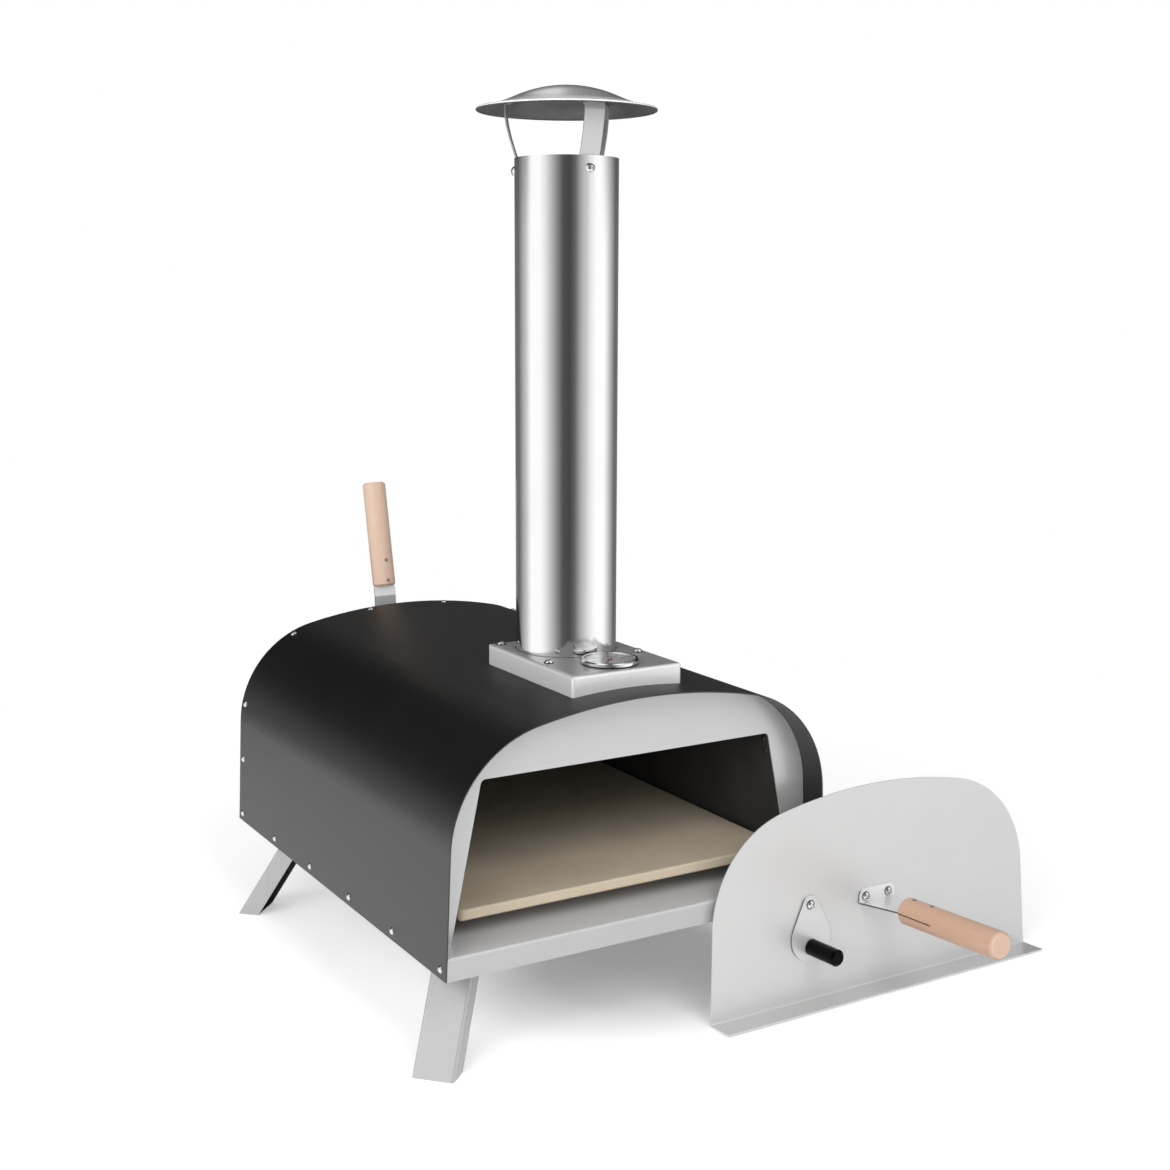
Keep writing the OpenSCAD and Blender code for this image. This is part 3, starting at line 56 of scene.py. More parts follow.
class Graph:
    """A short way to write a node tree. Inputs are given as sockets, plain values or colours."""

    def __init__(self, owner):
        owner.use_nodes = True
        self.tree = owner.node_tree

    def node(self, kind, **settings):
        made = self.tree.nodes.new(kind)
        for key, value in settings.items():
            setattr(made, key, value)
        return made

    def link(self, a, b):
        self.tree.links.new(a, b)

    def feed(self, socket, value):
        if isinstance(value, bpy.types.NodeSocket):
            self.link(value, socket)
        elif isinstance(value, tuple):
            socket.default_value = (*value, 1)
        else:
            socket.default_value = value

    def maths(self, operation, a, b=0.0):
        made = self.node("ShaderNodeMath", operation=operation)
        self.feed(made.inputs[0], a)
        self.feed(made.inputs[1], b)
        return made.outputs[0]

    def vector(self, operation, a, b=(0, 0, 0), output="Vector"):
        """Vector maths on a socket and a fixed vector."""
        made = self.node("ShaderNodeVectorMath", operation=operation)
        self.link(a, made.inputs[0])
        made.inputs[1].default_value = b
        return made.outputs[output]

    def mix(self, factor, a, b, blend="MIX"):
        made = self.node("ShaderNodeMix", data_type="RGBA", blend_type=blend)
        self.feed(made.inputs[0], factor)
        self.feed(made.inputs[6], a)
        self.feed(made.inputs[7], b)
        return made.outputs[2]

    def ramp(self, value, stops):
        """A grey ramp; each stop is (position, grey)."""
        made = self.node("ShaderNodeValToRGB")
        marks = made.color_ramp.elements
        while len(marks) < len(stops):
            marks.new(0.5)
        for mark, (position, grey) in zip(marks, stops):
            mark.position = position
            mark.color = (grey, grey, grey, 1)
        self.link(value, made.inputs["Fac"])
        return made.outputs["Color"]

    def span(self, value, low, high):
        """Maps 0..1 to low..high."""
        made = self.node("ShaderNodeMapRange")
        made.inputs["To Min"].default_value = low
        made.inputs["To Max"].default_value = high
        self.link(value, made.inputs["Value"])
        return made.outputs["Result"]

    def part(self, vector, axis):
        """One component of a vector: X, Y or Z."""
        split = self.node("ShaderNodeSeparateXYZ")
        self.link(vector, split.inputs[0])
        return split.outputs[axis]

    def coordinate(self, kind):
        """A texture coordinate: Object, in metres, Normal or Generated."""
        return self.node("ShaderNodeTexCoord").outputs[kind]

    def coords(self, scale=(1, 1, 1), shift=(0, 0, 0)):
        """Object coordinates in metres, moved, then scaled."""
        return self.vector("MULTIPLY", self.vector("ADD", self.coordinate("Object"), shift), scale)

    def along(self, axis, start, length):
        """From 0 to 1 over a stretch of an object's axis."""
        place = self.part(self.coordinate("Object"), axis)
        return self.maths("DIVIDE", self.maths("SUBTRACT", place, start), length)

    def facing(self, axis, low, high):
        """From 0 to 1 as the surface turns to face along an axis, either way."""
        turned = self.maths("ABSOLUTE", self.part(self.coordinate("Normal"), axis))
        return self.ramp(turned, [(low, 0), (high, 1)])

    def noise(self, vector, scale, detail, rough=0.55, distortion=0.0):
        made = self.node("ShaderNodeTexNoise")
        made.inputs["Scale"].default_value = scale
        made.inputs["Detail"].default_value = detail
        made.inputs["Roughness"].default_value = rough
        made.inputs["Distortion"].default_value = distortion
        self.link(vector, made.inputs["Vector"])
        return made.outputs["Fac"]

    def cells(self, vector, scale, output="Distance"):
        made = self.node("ShaderNodeTexVoronoi")
        made.inputs["Scale"].default_value = scale
        self.link(vector, made.inputs["Vector"])
        return made.outputs[output]

    def bump(self, height, distance, strength):
        made = self.node("ShaderNodeBump")
        made.inputs["Strength"].default_value = strength
        made.inputs["Distance"].default_value = distance
        self.link(height, made.inputs["Height"])
        return made.outputs["Normal"]


class Surface(Graph):
    """The node tree of a new material, round its Principled shader."""

    def __init__(self, name):
        self.material = bpy.data.materials.new(name)
        super().__init__(self.material)
        self.shader = self.tree.nodes["Principled BSDF"]
        self.out = self.tree.nodes["Material Output"]

    def set(self, **values):
        """Feeds the shader's sockets; Base_Color means Base Color."""
        for key, value in values.items():
            self.feed(self.shader.inputs[key.replace("_", " ")], value)


# ---------------------------------------------------------------- materials

END_GRAIN = 2.5*MM     # depth to which a grip's ends look paler
LEG_SHADE = 0.08       # grey of the painted shade on the inner faces of the legs,
FLANK_SHADE = 0.10     # painted shade on the flanks of screws and rivets,
FOOT_SHADOW_GREY = 0.03      # and the painted contact shadow round the foot of what stands on the flue base
BEECH = (0.80, 0.60, 0.48), (0.74, 0.52, 0.39), (0.60, 0.40, 0.29)     # pale, warm and deep
BEECH_END = 0.78, 0.60, 0.47


def enamel(name, tone, rough, dusty):
    """Satin powder coat: a fine orange peel and faint mottling. dusty makes level faces rougher."""
    g = Surface(name)
    place = g.coords()
    mottle = g.noise(place, 9, 5)
    peel = g.noise(place, 1400, 2)
    grit = g.noise(place, 420, 3)
    g.set(Base_Color=g.mix(g.ramp(mottle, [(0.35, 0), (0.7, 1)]), (tone*0.8,)*3, (tone*1.2,)*3),
          Roughness=g.maths("ADD", g.span(g.mix(0.5, mottle, grit), rough - 0.03, rough + 0.03),
                            g.maths("MULTIPLY", g.facing("Z", 0.88, 0.98), dusty)),
          Normal=g.bump(g.mix(0.4, peel, grit), 0.06*MM, 0.25), IOR=1.7)
    return g.material


def inside_of_leg(g, side_x, side_y):
    """1 on the inner faces of a leg's U section, 0 on its outer ones: where a leg gets painted shade."""
    outward = Vector((side_x*math.sin(LEG_TURN), side_y*math.cos(LEG_TURN), 0))
    across = Vector((outward.y, -outward.x, 0))
    pin = Vector((side_x*LEG_PIN_X, side_y*LEG_PIN_Y, 0))
    place = g.vector("DOT_PRODUCT", g.coordinate("Object"), across, "Value")
    offset = g.maths("ABSOLUTE", g.maths("SUBTRACT", place, pin.dot(across)))
    turned = g.vector("DOT_PRODUCT", g.coordinate("Normal"), outward, "Value")
    return g.maths("MULTIPLY", g.maths("LESS_THAN", offset, LEG_INNER), g.maths("LESS_THAN", turned, 0.2))


def grain(along, slow, fast):
    """Scale of a grain that changes slowly along one axis and fast across it."""
    return tuple(slow if axis == along else fast for axis in "xyz")


def steel(name, tone, rough, along="x", metal=0.7, contrast=0.015, stain=0.0, edge_shade=None,
          top=1.0, leg=None):
    """Satin sheet: barely visible grain along one axis and faint clouding. Part of it scatters the light
    evenly, as a fine satin grain does. stain is burnt patches, edge_shade the grey of the painted shade on
    the edges that face along X, top a factor of painted light or shade on level faces, and leg the sides
    of a leg whose inner faces get painted shade."""
    g = Surface(name)
    brush = g.noise(g.coords(grain(along, 5, 700)), 1.0, 3, 0.6)
    hair = g.noise(g.coords(grain(along, 22, 2400)), 1.0, 2, 0.5)
    both = g.mix(0.5, brush, hair)
    cloud = g.noise(g.coords(), 14, 4)
    low = (tone*(1 - contrast),)*3
    high = (tone*(1 + contrast),)*3
    colour = g.mix(g.ramp(both, [(0.38, 0), (0.62, 1)]), low, high)
    colour = g.mix(g.ramp(cloud, [(0.4, 0), (0.75, 0.4)]), colour, (tone*0.96,)*3)
    if stain:
        burnt = g.noise(g.coords(), 30, 6, 0.6)
        colour = g.mix(g.ramp(burnt, [(0.5, 0), (0.72, stain)]), colour, (tone*0.62, tone*0.52, tone*0.40))
    if edge_shade is not None:
        # painted shade on the edges that face along X
        colour = g.mix(g.facing("X", 0.5, 0.8), colour, (edge_shade,)*3)
    if top != 1.0:
        # painted light or shade: level faces made lighter or darker by the factor top
        colour = g.mix(g.facing("Z", 0.5, 0.9), colour, (top,)*3, "MULTIPLY")
    if leg:
        # painted shade: the inner faces of a leg's U section are darkened to LEG_SHADE
        colour = g.mix(inside_of_leg(g, *leg), colour, (LEG_SHADE,)*3)
    g.set(Base_Color=colour, Metallic=metal,
          Roughness=g.span(g.mix(0.35, both, cloud), rough - 0.04, rough + 0.05),
          Normal=g.bump(both, 0.03*MM, 0.05))
    return g.material


def polished(name, tone, rough, seen_along=None, flank=(0.45, 0.65), foot=None, foot_shadow=0.0):
    """Bright rolled or drawn steel: nearly mirror-like, with upright hairlines. seen_along darkens what
    faces away from that axis with painted shade, as on the flank of a screw's head; foot is the height of
    a piece's underside, above which a painted contact shadow of the height seam runs round it."""
    g = Surface(name)
    hair = g.noise(g.coords(grain("z", 3, 500)), 1.0, 3)
    cloud = g.noise(g.coords(), 22, 3)
    colour = g.mix(g.ramp(cloud, [(0.3, 0), (0.7, 1)]), (tone*0.97,)*3, (tone, tone, tone*1.01))
    if seen_along:
        # painted shade on the flanks that face away from seen_along
        colour = g.mix(g.facing(seen_along, *flank), (FLANK_SHADE,)*3, colour)
    if foot is not None:
        # painted contact shadow: a dark band round the piece's foot, of the height seam
        colour = g.mix(g.ramp(g.along("Z", foot, foot_shadow), [(0.6, 0), (1, 1)]), (FOOT_SHADOW_GREY,)*3, colour)
    g.set(Base_Color=colour, Metallic=1.0,
          Roughness=g.span(g.mix(0.4, hair, cloud), rough*0.85, rough*1.15),
          Normal=g.bump(hair, 0.01*MM, 0.05))
    return g.material


def cap_steel(name, tone, rough, centre, radius):
    """Spun steel, satin on the dome, with a painted highlight on the brim and its cut rim, which are given
    a paler, less metallic colour. Its underside is dulled by smoke."""
    g = Surface(name)
    upward = g.part(g.coordinate("Normal"), "Z")
    under = g.ramp(upward, [(0.0, 1), (0.05, 0)])
    rim = g.ramp(g.maths("ABSOLUTE", upward), [(0.2, 1), (0.35, 0)])
    reach = g.vector("LENGTH", g.coords((1, 1, 0), (-centre.x, -centre.y, 0)), output="Value")
    outer = g.ramp(g.maths("DIVIDE", reach, radius), [(0.70, 0), (0.84, 1)])
    brim = g.maths("MULTIPLY", outer, g.maths("SUBTRACT", 1.0, under))
    # painted highlight: the rim and brim get a pale, less metallic colour
    light = g.maths("MAXIMUM", rim, g.maths("MULTIPLY", brim, 0.65))
    smoke = g.noise(g.coords(), 35, 5, 0.6)
    cloud = g.noise(g.coords(), 22, 3)
    satin = g.mix(g.ramp(cloud, [(0.3, 0), (0.7, 1)]), (tone*0.97,)*3, (tone, tone, tone*1.01))
    dull = g.mix(g.ramp(smoke, [(0.3, 0), (0.7, 1)]), (0.08, 0.078, 0.076), (0.12, 0.117, 0.114))
    g.set(Base_Color=g.mix(light, g.mix(under, satin, dull), (0.85, 0.85, 0.85)),
          Metallic=g.span(light, 0.65, 0.1),
          Roughness=g.span(g.mix(0.5, cloud, under), rough*0.8, rough*1.9),
          Normal=g.bump(cloud, 0.01*MM, 0.05))
    return g.material


def zinc(name, tone):
    """Galvanised sheet: flat crystals of slightly different grey."""
    g = Surface(name)
    place = g.coords()
    grey = g.node("ShaderNodeRGBToBW")
    g.link(g.cells(place, 95, "Color"), grey.inputs["Color"])
    spangle = grey.outputs["Val"]
    cloud = g.noise(place, 60, 4)
    g.set(Base_Color=g.mix(spangle, (tone*0.82,)*3, (tone, tone*1.01, tone*1.03)), Metallic=1.0,
          Roughness=g.span(g.mix(0.5, spangle, cloud), 0.34, 0.55),
          Normal=g.bump(cloud, 0.05*MM, 0.2))
    return g.material


def soot(name, tone, rough):
    """Heat-resistant black with dull, uneven soot."""
    g = Surface(name)
    place = g.coords()
    cloud = g.noise(place, 11, 6, 0.6)
    dust = g.noise(place, 700, 3)
    brown = (tone*1.4, tone*1.3, tone*1.2)
    g.set(Base_Color=g.mix(g.ramp(cloud, [(0.3, 0), (0.75, 1)]), (tone*0.6,)*3, brown),
          Metallic=0.0, Specular_IOR_Level=0.3,
          Roughness=g.span(cloud, rough - 0.1, rough + 0.12),
          Normal=g.bump(dust, 0.08*MM, 0.4))
    return g.material


def beech(name, turn, centre, length, shade):
    """Pale beech with its grain along a grip's axis: long pores, short dark flecks, a soft growth ring
    figure and paler ends. turn brings that axis onto Z, and shade darkens the colours by channel."""
    g = Surface(name)
    spin = g.node("ShaderNodeMapping")
    spin.inputs["Rotation"].default_value = turn
    g.link(g.vector("SUBTRACT", g.coordinate("Object"), centre), spin.inputs["Vector"])
    local = spin.outputs["Vector"]
    figure = g.noise(g.vector("MULTIPLY", local, (60, 26, 5)), 1.0, 4, 0.5, 0.6)
    ring = g.node("ShaderNodeTexWave", wave_type="BANDS", bands_direction="X", wave_profile="SIN")
    ring.inputs["Scale"].default_value = 1.0
    ring.inputs["Distortion"].default_value = 3.5
    ring.inputs["Detail"].default_value = 2.0
    ring.inputs["Detail Scale"].default_value = 0.8
    g.link(g.vector("MULTIPLY", local, (95, 40, 4)), ring.inputs["Vector"])
    pores = g.noise(g.vector("MULTIPLY", local, (1500, 1500, 70)), 1.0, 2, 0.5)
    fleck = g.cells(g.vector("MULTIPLY", local, (420, 420, 75)), 1.0)
    pale, warm, deep = (tuple(c*s for c, s in zip(tint, shade)) for tint in BEECH)
    colour = g.mix(g.ramp(figure, [(0.3, 0), (0.75, 1)]), pale, warm)
    colour = g.mix(g.ramp(ring.outputs["Fac"], [(0.45, 0), (0.95, 0.35)]), colour, warm)
    colour = g.mix(g.ramp(pores, [(0.55, 0), (0.75, 0.35)]), colour, deep)
    colour = g.mix(g.ramp(fleck, [(0.05, 0.55), (0.16, 0)]), colour, deep)
    from_middle = g.maths("ABSOLUTE", g.part(local, "Z"))
    end = g.maths("DIVIDE", g.maths("SUBTRACT", from_middle, length/2 - END_GRAIN), END_GRAIN)
    colour = g.mix(g.ramp(end, [(0.6, 0), (0.9, 0.35)]), colour, BEECH_END)
    g.set(Base_Color=colour, Specular_IOR_Level=0.4,
          Roughness=g.span(pores, 0.42, 0.6),
          Normal=g.bump(pores, 0.12*MM, 0.25))
    return g.material


def stone(name):
    """Pressed cordierite: sandy beige with fine grit, open pores and a few tan clouds."""
    g = Surface(name)
    place = g.coords()
    cloud = g.noise(place, 13, 5, 0.6)
    grit = g.noise(place, 900, 4, 0.7)
    pores = g.cells(place, 520)
    specks = g.cells(place, 260)
    colour = g.mix(g.ramp(cloud, [(0.35, 0), (0.7, 1)]), (0.45, 0.38, 0.28), (0.52, 0.445, 0.335))
    colour = g.mix(g.ramp(grit, [(0.45, 0), (0.7, 0.5)]), colour, (0.59, 0.52, 0.41))
    colour = g.mix(g.ramp(specks, [(0.08, 0.6), (0.16, 0)]), colour, (0.36, 0.29, 0.22))
    pits = g.ramp(pores, [(0.0, 0.0), (0.22, 1.0)])
    g.set(Base_Color=colour, Specular_IOR_Level=0.25,
          Roughness=g.span(grit, 0.78, 0.95),
          Normal=g.bump(g.mix(0.5, pits, grit), 0.3*MM, 0.5))
    return g.material


def wool(name):
    """Ceramic fibre: matted white threads."""
    g = Surface(name)
    place = g.coords()
    warp = g.noise(place, 60, 5, 0.65, 2.0)
    thread = g.noise(g.coords((900, 140, 900)), 1.0, 4, 0.6, 1.5)
    g.set(Base_Color=g.mix(g.ramp(thread, [(0.3, 0), (0.7, 1)]), (0.70, 0.67, 0.60), (0.88, 0.86, 0.80)),
          Roughness=g.span(warp, 0.85, 1.0), Specular_IOR_Level=0.1,
          Normal=g.bump(g.mix(0.5, warp, thread), 1.2*MM, 0.8))
    return g.material


def gloss_black(name):
    """Moulded phenolic knob: glossy, with the faintest waviness and fine dust."""
    g = Surface(name)
    place = g.coords()
    wave = g.noise(place, 70, 2)
    dust = g.noise(place, 1500, 2)
    g.set(Base_Color=g.mix(g.ramp(dust, [(0.6, 0), (0.85, 0.5)]), (0.001,)*3, (0.004,)*3),
          Roughness=g.span(dust, 0.10, 0.18), Specular_IOR_Level=0.08,
          Normal=g.bump(wave, 0.1*MM, 0.2))
    return g.material


def paint(name, colour, rough):
    """Printed or stove-dried paint with a slight mottle."""
    g = Surface(name)
    place = g.coords()
    cloud = g.noise(place, 180, 3)
    grit = g.noise(place, 2500, 2)
    low = tuple(c*0.95 for c in colour)
    g.set(Base_Color=g.mix(g.ramp(cloud, [(0.35, 0), (0.65, 1)]), low, colour),
          Roughness=g.span(grit, rough - 0.05, rough + 0.05),
          Normal=g.bump(grit, 0.02*MM, 0.2))
    return g.material


def glass(name):
    """Clear flat glass with a hint of smoke film."""
    g = Surface(name)
    film = g.noise(g.coords(), 90, 3)
    g.set(Base_Color=g.mix(g.ramp(film, [(0.4, 0), (0.8, 1)]), (0.97, 0.99, 1.0), (0.93, 0.95, 0.95)),
          Roughness=g.span(film, 0.0, 0.05), Transmission_Weight=1.0, IOR=1.45)
    return g.material


def grip_turn(direction):
    """The rotation that brings a grip's axis onto Z, for a Mapping node."""
    return Vector(direction).rotation_difference(Vector((0, 0, 1))).to_euler()


def middle(node):
    low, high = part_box(node)
    return (low + high)/2


# sizes that some materials share with the CAD model
DOOR_TILT = math.radians(3.6)      # backward tilt of the standing door
DOOR_GRIP_LENGTH = 123*MM
LID_LEAN = math.radians(12)        # backward lean of the lid's grip
LID_GRIP_LENGTH = 120*MM
LEG_TURN = math.radians(46.8)      # a leg's outward direction, from straight ahead or back
LEG_PIN_X = 148*MM
LEG_PIN_Y = 181.7*MM
LEG_INNER = 18.4*MM                # half of a leg's inner width, and a little of its sheet

ENAMEL = enamel("black_powder_coat", 0.004, 0.36, dusty=0.14)
FACE_STEEL = steel("satin_sheet", 0.535, 0.30, metal=0.5)
DOOR_STEEL = steel("satin_door", 0.61, 0.40, metal=0.45)
LEG_SIDES = {"leg_front_left": (-1, -1), "leg_front_right": (1, -1),
             "leg_rear_left": (-1, 1), "leg_rear_right": (1, 1)}
LEG_STEEL = {name: steel(f"satin_{name}", 0.48, 0.28, "z", metal=0.5, contrast=0.05, leg=sides)
             for name, sides in LEG_SIDES.items()}
STRAP_STEEL = steel("satin_strap", 0.54, 0.28, "z", metal=0.5)
# painted shade: the flue base's level top is darkened
BASE_STEEL = steel("satin_flue_base", 0.75, 0.26, "y", metal=0.45, top=0.53)
# painted light: the tray's level deck is lightened
TRAY_SHEET = steel("satin_tray", 0.43, 0.30, metal=0.15, top=1.42)
# the strip and the peephole cover get painted shade on their edges
BRACKET_STEEL = steel("satin_strip", 0.74, 0.28, "y", metal=0.5, edge_shade=0.12)
COVER_STEEL = steel("satin_cover", 0.63, 0.34, "z", metal=0.45, edge_shade=0.12)
TRAY_STEEL = steel("burner_sheet", 0.50, 0.38, "y", stain=0.5)
CAP_LOW, CAP_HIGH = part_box("rain_cap")
CAP_STEEL = cap_steel("spun_cap", 0.54, 0.17, (CAP_LOW + CAP_HIGH)/2, (CAP_HIGH.x - CAP_LOW.x)/2)
BRIGHT = polished("bright_fastener", 0.82, 0.16)
# the door screws and the rivets get painted shade on their flanks
DOOR_SCREW = polished("door_screw", 0.90, 0.16, seen_along="Y")
RIVET = polished("bright_rivet", 0.82, 0.16, seen_along="X", flank=(0.52, 0.72))
FLUE_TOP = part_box("flue_base")[1].z
PIPE_STEEL = polished("polished_pipe", 0.86, 0.11)
# a painted contact shadow runs round the feet of the flue screws and the thermometer case
FLUE_SCREW = polished("flue_screw", 0.92, 0.12, foot=FLUE_TOP, foot_shadow=0.9*MM)
CASE_STEEL = polished("thermometer_case", 0.88, 0.14, foot=FLUE_TOP, foot_shadow=1.6*MM)
DARK_PIN = polished("dark_pin", 0.22, 0.20)
ZINC = zinc("galvanised_sheet", 0.60)
SOOT = soot("heat_black", 0.032, 0.65)
DARK_SCREW = soot("blackened_screw", 0.02, 0.45)
IRON = soot("burnt_iron", 0.035, 0.6)
STONE = stone("cordierite_stone")
WOOL = wool("ceramic_wool")
KNOB = gloss_black("phenolic_knob")
DIAL = paint("dial_white", (0.86, 0.86, 0.83), 0.4)
NEEDLE = paint("needle_red", (0.55, 0.03, 0.02), 0.35)
INK = paint("dial_ink", (0.02, 0.02, 0.02), 0.5)
GLASS = glass("dial_glass")
DOOR_GRIP_AXIS = 0, -math.cos(DOOR_TILT), math.sin(DOOR_TILT)
LID_GRIP_AXIS = 0, math.sin(LID_LEAN), math.cos(LID_LEAN)
# the door's grip gets darker and warmer colours than the lid's; the darkening is painted shade
DOOR_WOOD = beech("beech_door_grip", grip_turn(DOOR_GRIP_AXIS), middle("door_handle_grip"),
                  DOOR_GRIP_LENGTH, (0.64, 0.57, 0.53))
LID_WOOD = beech("beech_lid_grip", grip_turn(LID_GRIP_AXIS), middle("lid_handle_grip"),
                 LID_GRIP_LENGTH, (0.82, 0.82, 0.82))

LOOKS = {
    "outer_shell": ENAMEL, "rear_panel": ENAMEL, "fuel_hopper": ENAMEL, "hopper_lid": ENAMEL,
    "base_tray": TRAY_SHEET, "front_face": FACE_STEEL,
    "inner_liner": SOOT, "liner_screws": DARK_SCREW, "burner_grate": IRON,
    "insulation_blanket": WOOL, "pizza_stone": STONE,
    "stone_rails": ZINC, "flame_guard": ZINC, "flue_nuts": ZINC, "thermometer_nut": ZINC,
    "leg_brackets": ZINC, "tray_guides": ZINC,
    "side_rivets": RIVET, "rear_rivets": BRIGHT, "cap_screws": BRIGHT, "hopper_screws": BRIGHT,
    "lid_rivets": BRIGHT, "lid_hinge_pin": BRIGHT, "leg_pins": BRIGHT, "burner_pull": BRIGHT,
    "door_screws": DOOR_SCREW, "peephole_pivot_screw": DOOR_SCREW,
    "flue_screws": FLUE_SCREW, "thermometer_case": CASE_STEEL,
    "flue_base": BASE_STEEL, "flue_collar": BASE_STEEL,
    "flue_pipe": PIPE_STEEL, "rain_cap": CAP_STEEL, "cap_legs": STRAP_STEEL,
    "thermometer_dial": DIAL, "thermometer_needle": NEEDLE, "thermometer_glass": GLASS,
    **LEG_STEEL,
    "door_panel": DOOR_STEEL, "door_handle_bracket": BRACKET_STEEL, "lid_handle_strip": BRACKET_STEEL,
    "door_handle_grip": DOOR_WOOD, "door_handle_pins": DARK_PIN,
    "lid_handle_grip": LID_WOOD, "lid_handle_pins": DARK_PIN,
    "peephole_cover": COVER_STEEL, "peephole_knob": KNOB, "burner_tray": TRAY_STEEL,
}

for name, obj in NODES.items():
    obj.data.materials.clear()
    obj.data.materials.append(LOOKS[name])


# ---------------------------------------------------------------- dial print

DIAL_THICK = 0.5*MM
DIAL_START = math.radians(225)     # the angle of 0, from +X
DIAL_SWEEP = math.radians(270)     # clockwise from there to 500
DIAL_STEPS = 50
DIAL_MAIN = 10                     # steps from one main mark to the next
MARK_OUTER = 0.93                  # the marks' outer and inner ends, as shares of the dial's radius
MARK_INNER = 0.86
MAIN_INNER = 0.80
MARK_HALF = 0.16*MM                # half of a mark's width
MAIN_HALF = 0.35*MM
PRINT_SINK = 0.02*MM               # the marks' depth in the face and height above it
PRINT_RISE = 0.06*MM
NUMBER_AT = 0.64                   # a number's middle, as a share of the dial's radius
NUMBER_SIZE = 4.6*MM
NUMBER_LIFT = 0.02*MM              # height of a number's middle above the face
NUMBER_HALF = 0.03*MM              # half of a number's thickness


def flat_mesh(name, parts, material, body):
    """One mesh of upright prisms; each part is the points of a prism's base and the height of its top."""
    mesh = bpy.data.meshes.new(name)
    made = bmesh.new()
    for points, top in parts:
        base = [made.verts.new(p) for p in points]
        cap = [made.verts.new((p[0], p[1], top)) for p in points]
        made.faces.new(cap)
        made.faces.new(list(reversed(base)))
        for i in range(len(points)):
            j = (i + 1) % len(points)
            made.faces.new((base[i], base[j], cap[j], cap[i]))
    bmesh.ops.recalc_face_normals(made, faces=made.faces)
    made.to_mesh(mesh)
    made.free()
    obj = bpy.data.objects.new(name, mesh)
    scene.collection.objects.link(obj)
    obj.data.materials.append(material)
    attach(obj, body)


def dial_ray(angle):
    """The direction from the dial's middle at an angle from +X."""
    return Vector((math.cos(angle), math.sin(angle), 0))


def dial_print():
    """The scale on the thermometer's face: 51 marks, of which every tenth is a main one with a number."""
    low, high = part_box("thermometer_dial")
    centre = (low + high)/2
    radius = (high.x - low.x)/2
    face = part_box("thermometer_dial")[0].z + DIAL_THICK
    parts = []
    for i in range(DIAL_STEPS + 1):
        main = i % DIAL_MAIN == 0
        angle = DIAL_START - DIAL_SWEEP*i/DIAL_STEPS
        outer = dial_ray(angle)*radius*MARK_OUTER
        inner = dial_ray(angle)*radius*(MAIN_INNER if main else MARK_INNER)
        across = dial_ray(angle + math.pi/2)*(MAIN_HALF if main else MARK_HALF)
        points = (inner - across, outer - across, outer + across, inner + across)
        base = [(centre.x + p.x, centre.y + p.y, face - PRINT_SINK) for p in points]
        parts.append((base, face + PRINT_RISE))
    flat_mesh("dial_marks", parts, INK, "oven")
    for i in range(DIAL_STEPS//DIAL_MAIN + 1):
        angle = DIAL_START - DIAL_SWEEP*i*DIAL_MAIN/DIAL_STEPS
        curve = bpy.data.curves.new(f"dial_number_{i}", "FONT")
        curve.body = str(100*i)
        curve.size = NUMBER_SIZE
        curve.align_x = "CENTER"
        curve.align_y = "CENTER"
        curve.extrude = NUMBER_HALF
        obj = bpy.data.objects.new(f"dial_number_{i}", curve)
        scene.collection.objects.link(obj)
        obj.location = Vector((centre.x, centre.y, face + NUMBER_LIFT)) + dial_ray(angle)*radius*NUMBER_AT
        bpy.context.view_layer.update()
        mesh = bpy.data.meshes.new_from_object(obj)
        solid = bpy.data.objects.new(f"dial_digits_{i}", mesh)
        scene.collection.objects.link(solid)
        solid.matrix_world = obj.matrix_world
        bpy.data.objects.remove(obj)
        solid.data.materials.clear()
        solid.data.materials.append(INK)
        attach(solid, "oven")


dial_print()


# ---------------------------------------------------------------- floor, light, camera

FLOOR_RADIUS = 1.3
SHADE_SHIFT = -0.09, 0.12, 0       # from the middle of the painted shadow under the oven to the origin
FLOOR_MIRRORED = 0.24              # the floor's glow in reflections


def floor():
    """A white floor. Seen directly, its glow is lowest under the oven's front, a painted shadow on top of
    the real one, and it fades to the backdrop's white around it."""
    g = Surface("studio_floor")
    mottle = g.noise(g.coords(), 3, 3)
    diffuse = g.node("ShaderNodeBsdfDiffuse")
    g.feed(diffuse.inputs["Color"], g.mix(g.ramp(mottle, [(0.3, 0), (0.7, 1)]), (0.75,)*3, (0.77,)*3))
    reach = g.vector("LENGTH", g.coords(shift=SHADE_SHIFT), output="Value")
    # painted shadow: the glow seen by the camera is lowest under the oven's front and rises round it
    painted_shadow_glow = g.ramp(g.maths("DIVIDE", reach, FLOOR_RADIUS),
                    [(0, 0.08), (0.08, 0.09), (0.13, 0.26), (0.17, 0.42), (0.25, 0.36), (1, 0.55)])
    path = g.node("ShaderNodeLightPath")
    seen = g.maths("MULTIPLY", path.outputs["Is Camera Ray"], painted_shadow_glow)
    mirrored = g.maths("MULTIPLY", path.outputs["Is Glossy Ray"], FLOOR_MIRRORED)
    glow = g.node("ShaderNodeEmission")
    g.link(g.maths("ADD", seen, mirrored), glow.inputs["Strength"])
    both = g.node("ShaderNodeAddShader")
    g.link(diffuse.outputs[0], both.inputs[0])
    g.link(glow.outputs[0], both.inputs[1])
    g.link(both.outputs[0], g.out.inputs["Surface"])
    g.tree.nodes.remove(g.shader)
    mesh = bpy.data.meshes.new("floor")
    made = bmesh.new()
    bmesh.ops.create_circle(made, cap_ends=True, radius=FLOOR_RADIUS, segments=96)
    made.to_mesh(mesh)
    made.free()
    obj = bpy.data.objects.new("floor", mesh)
    scene.collection.objects.link(obj)
    obj.data.materials.append(g.material)


floor()


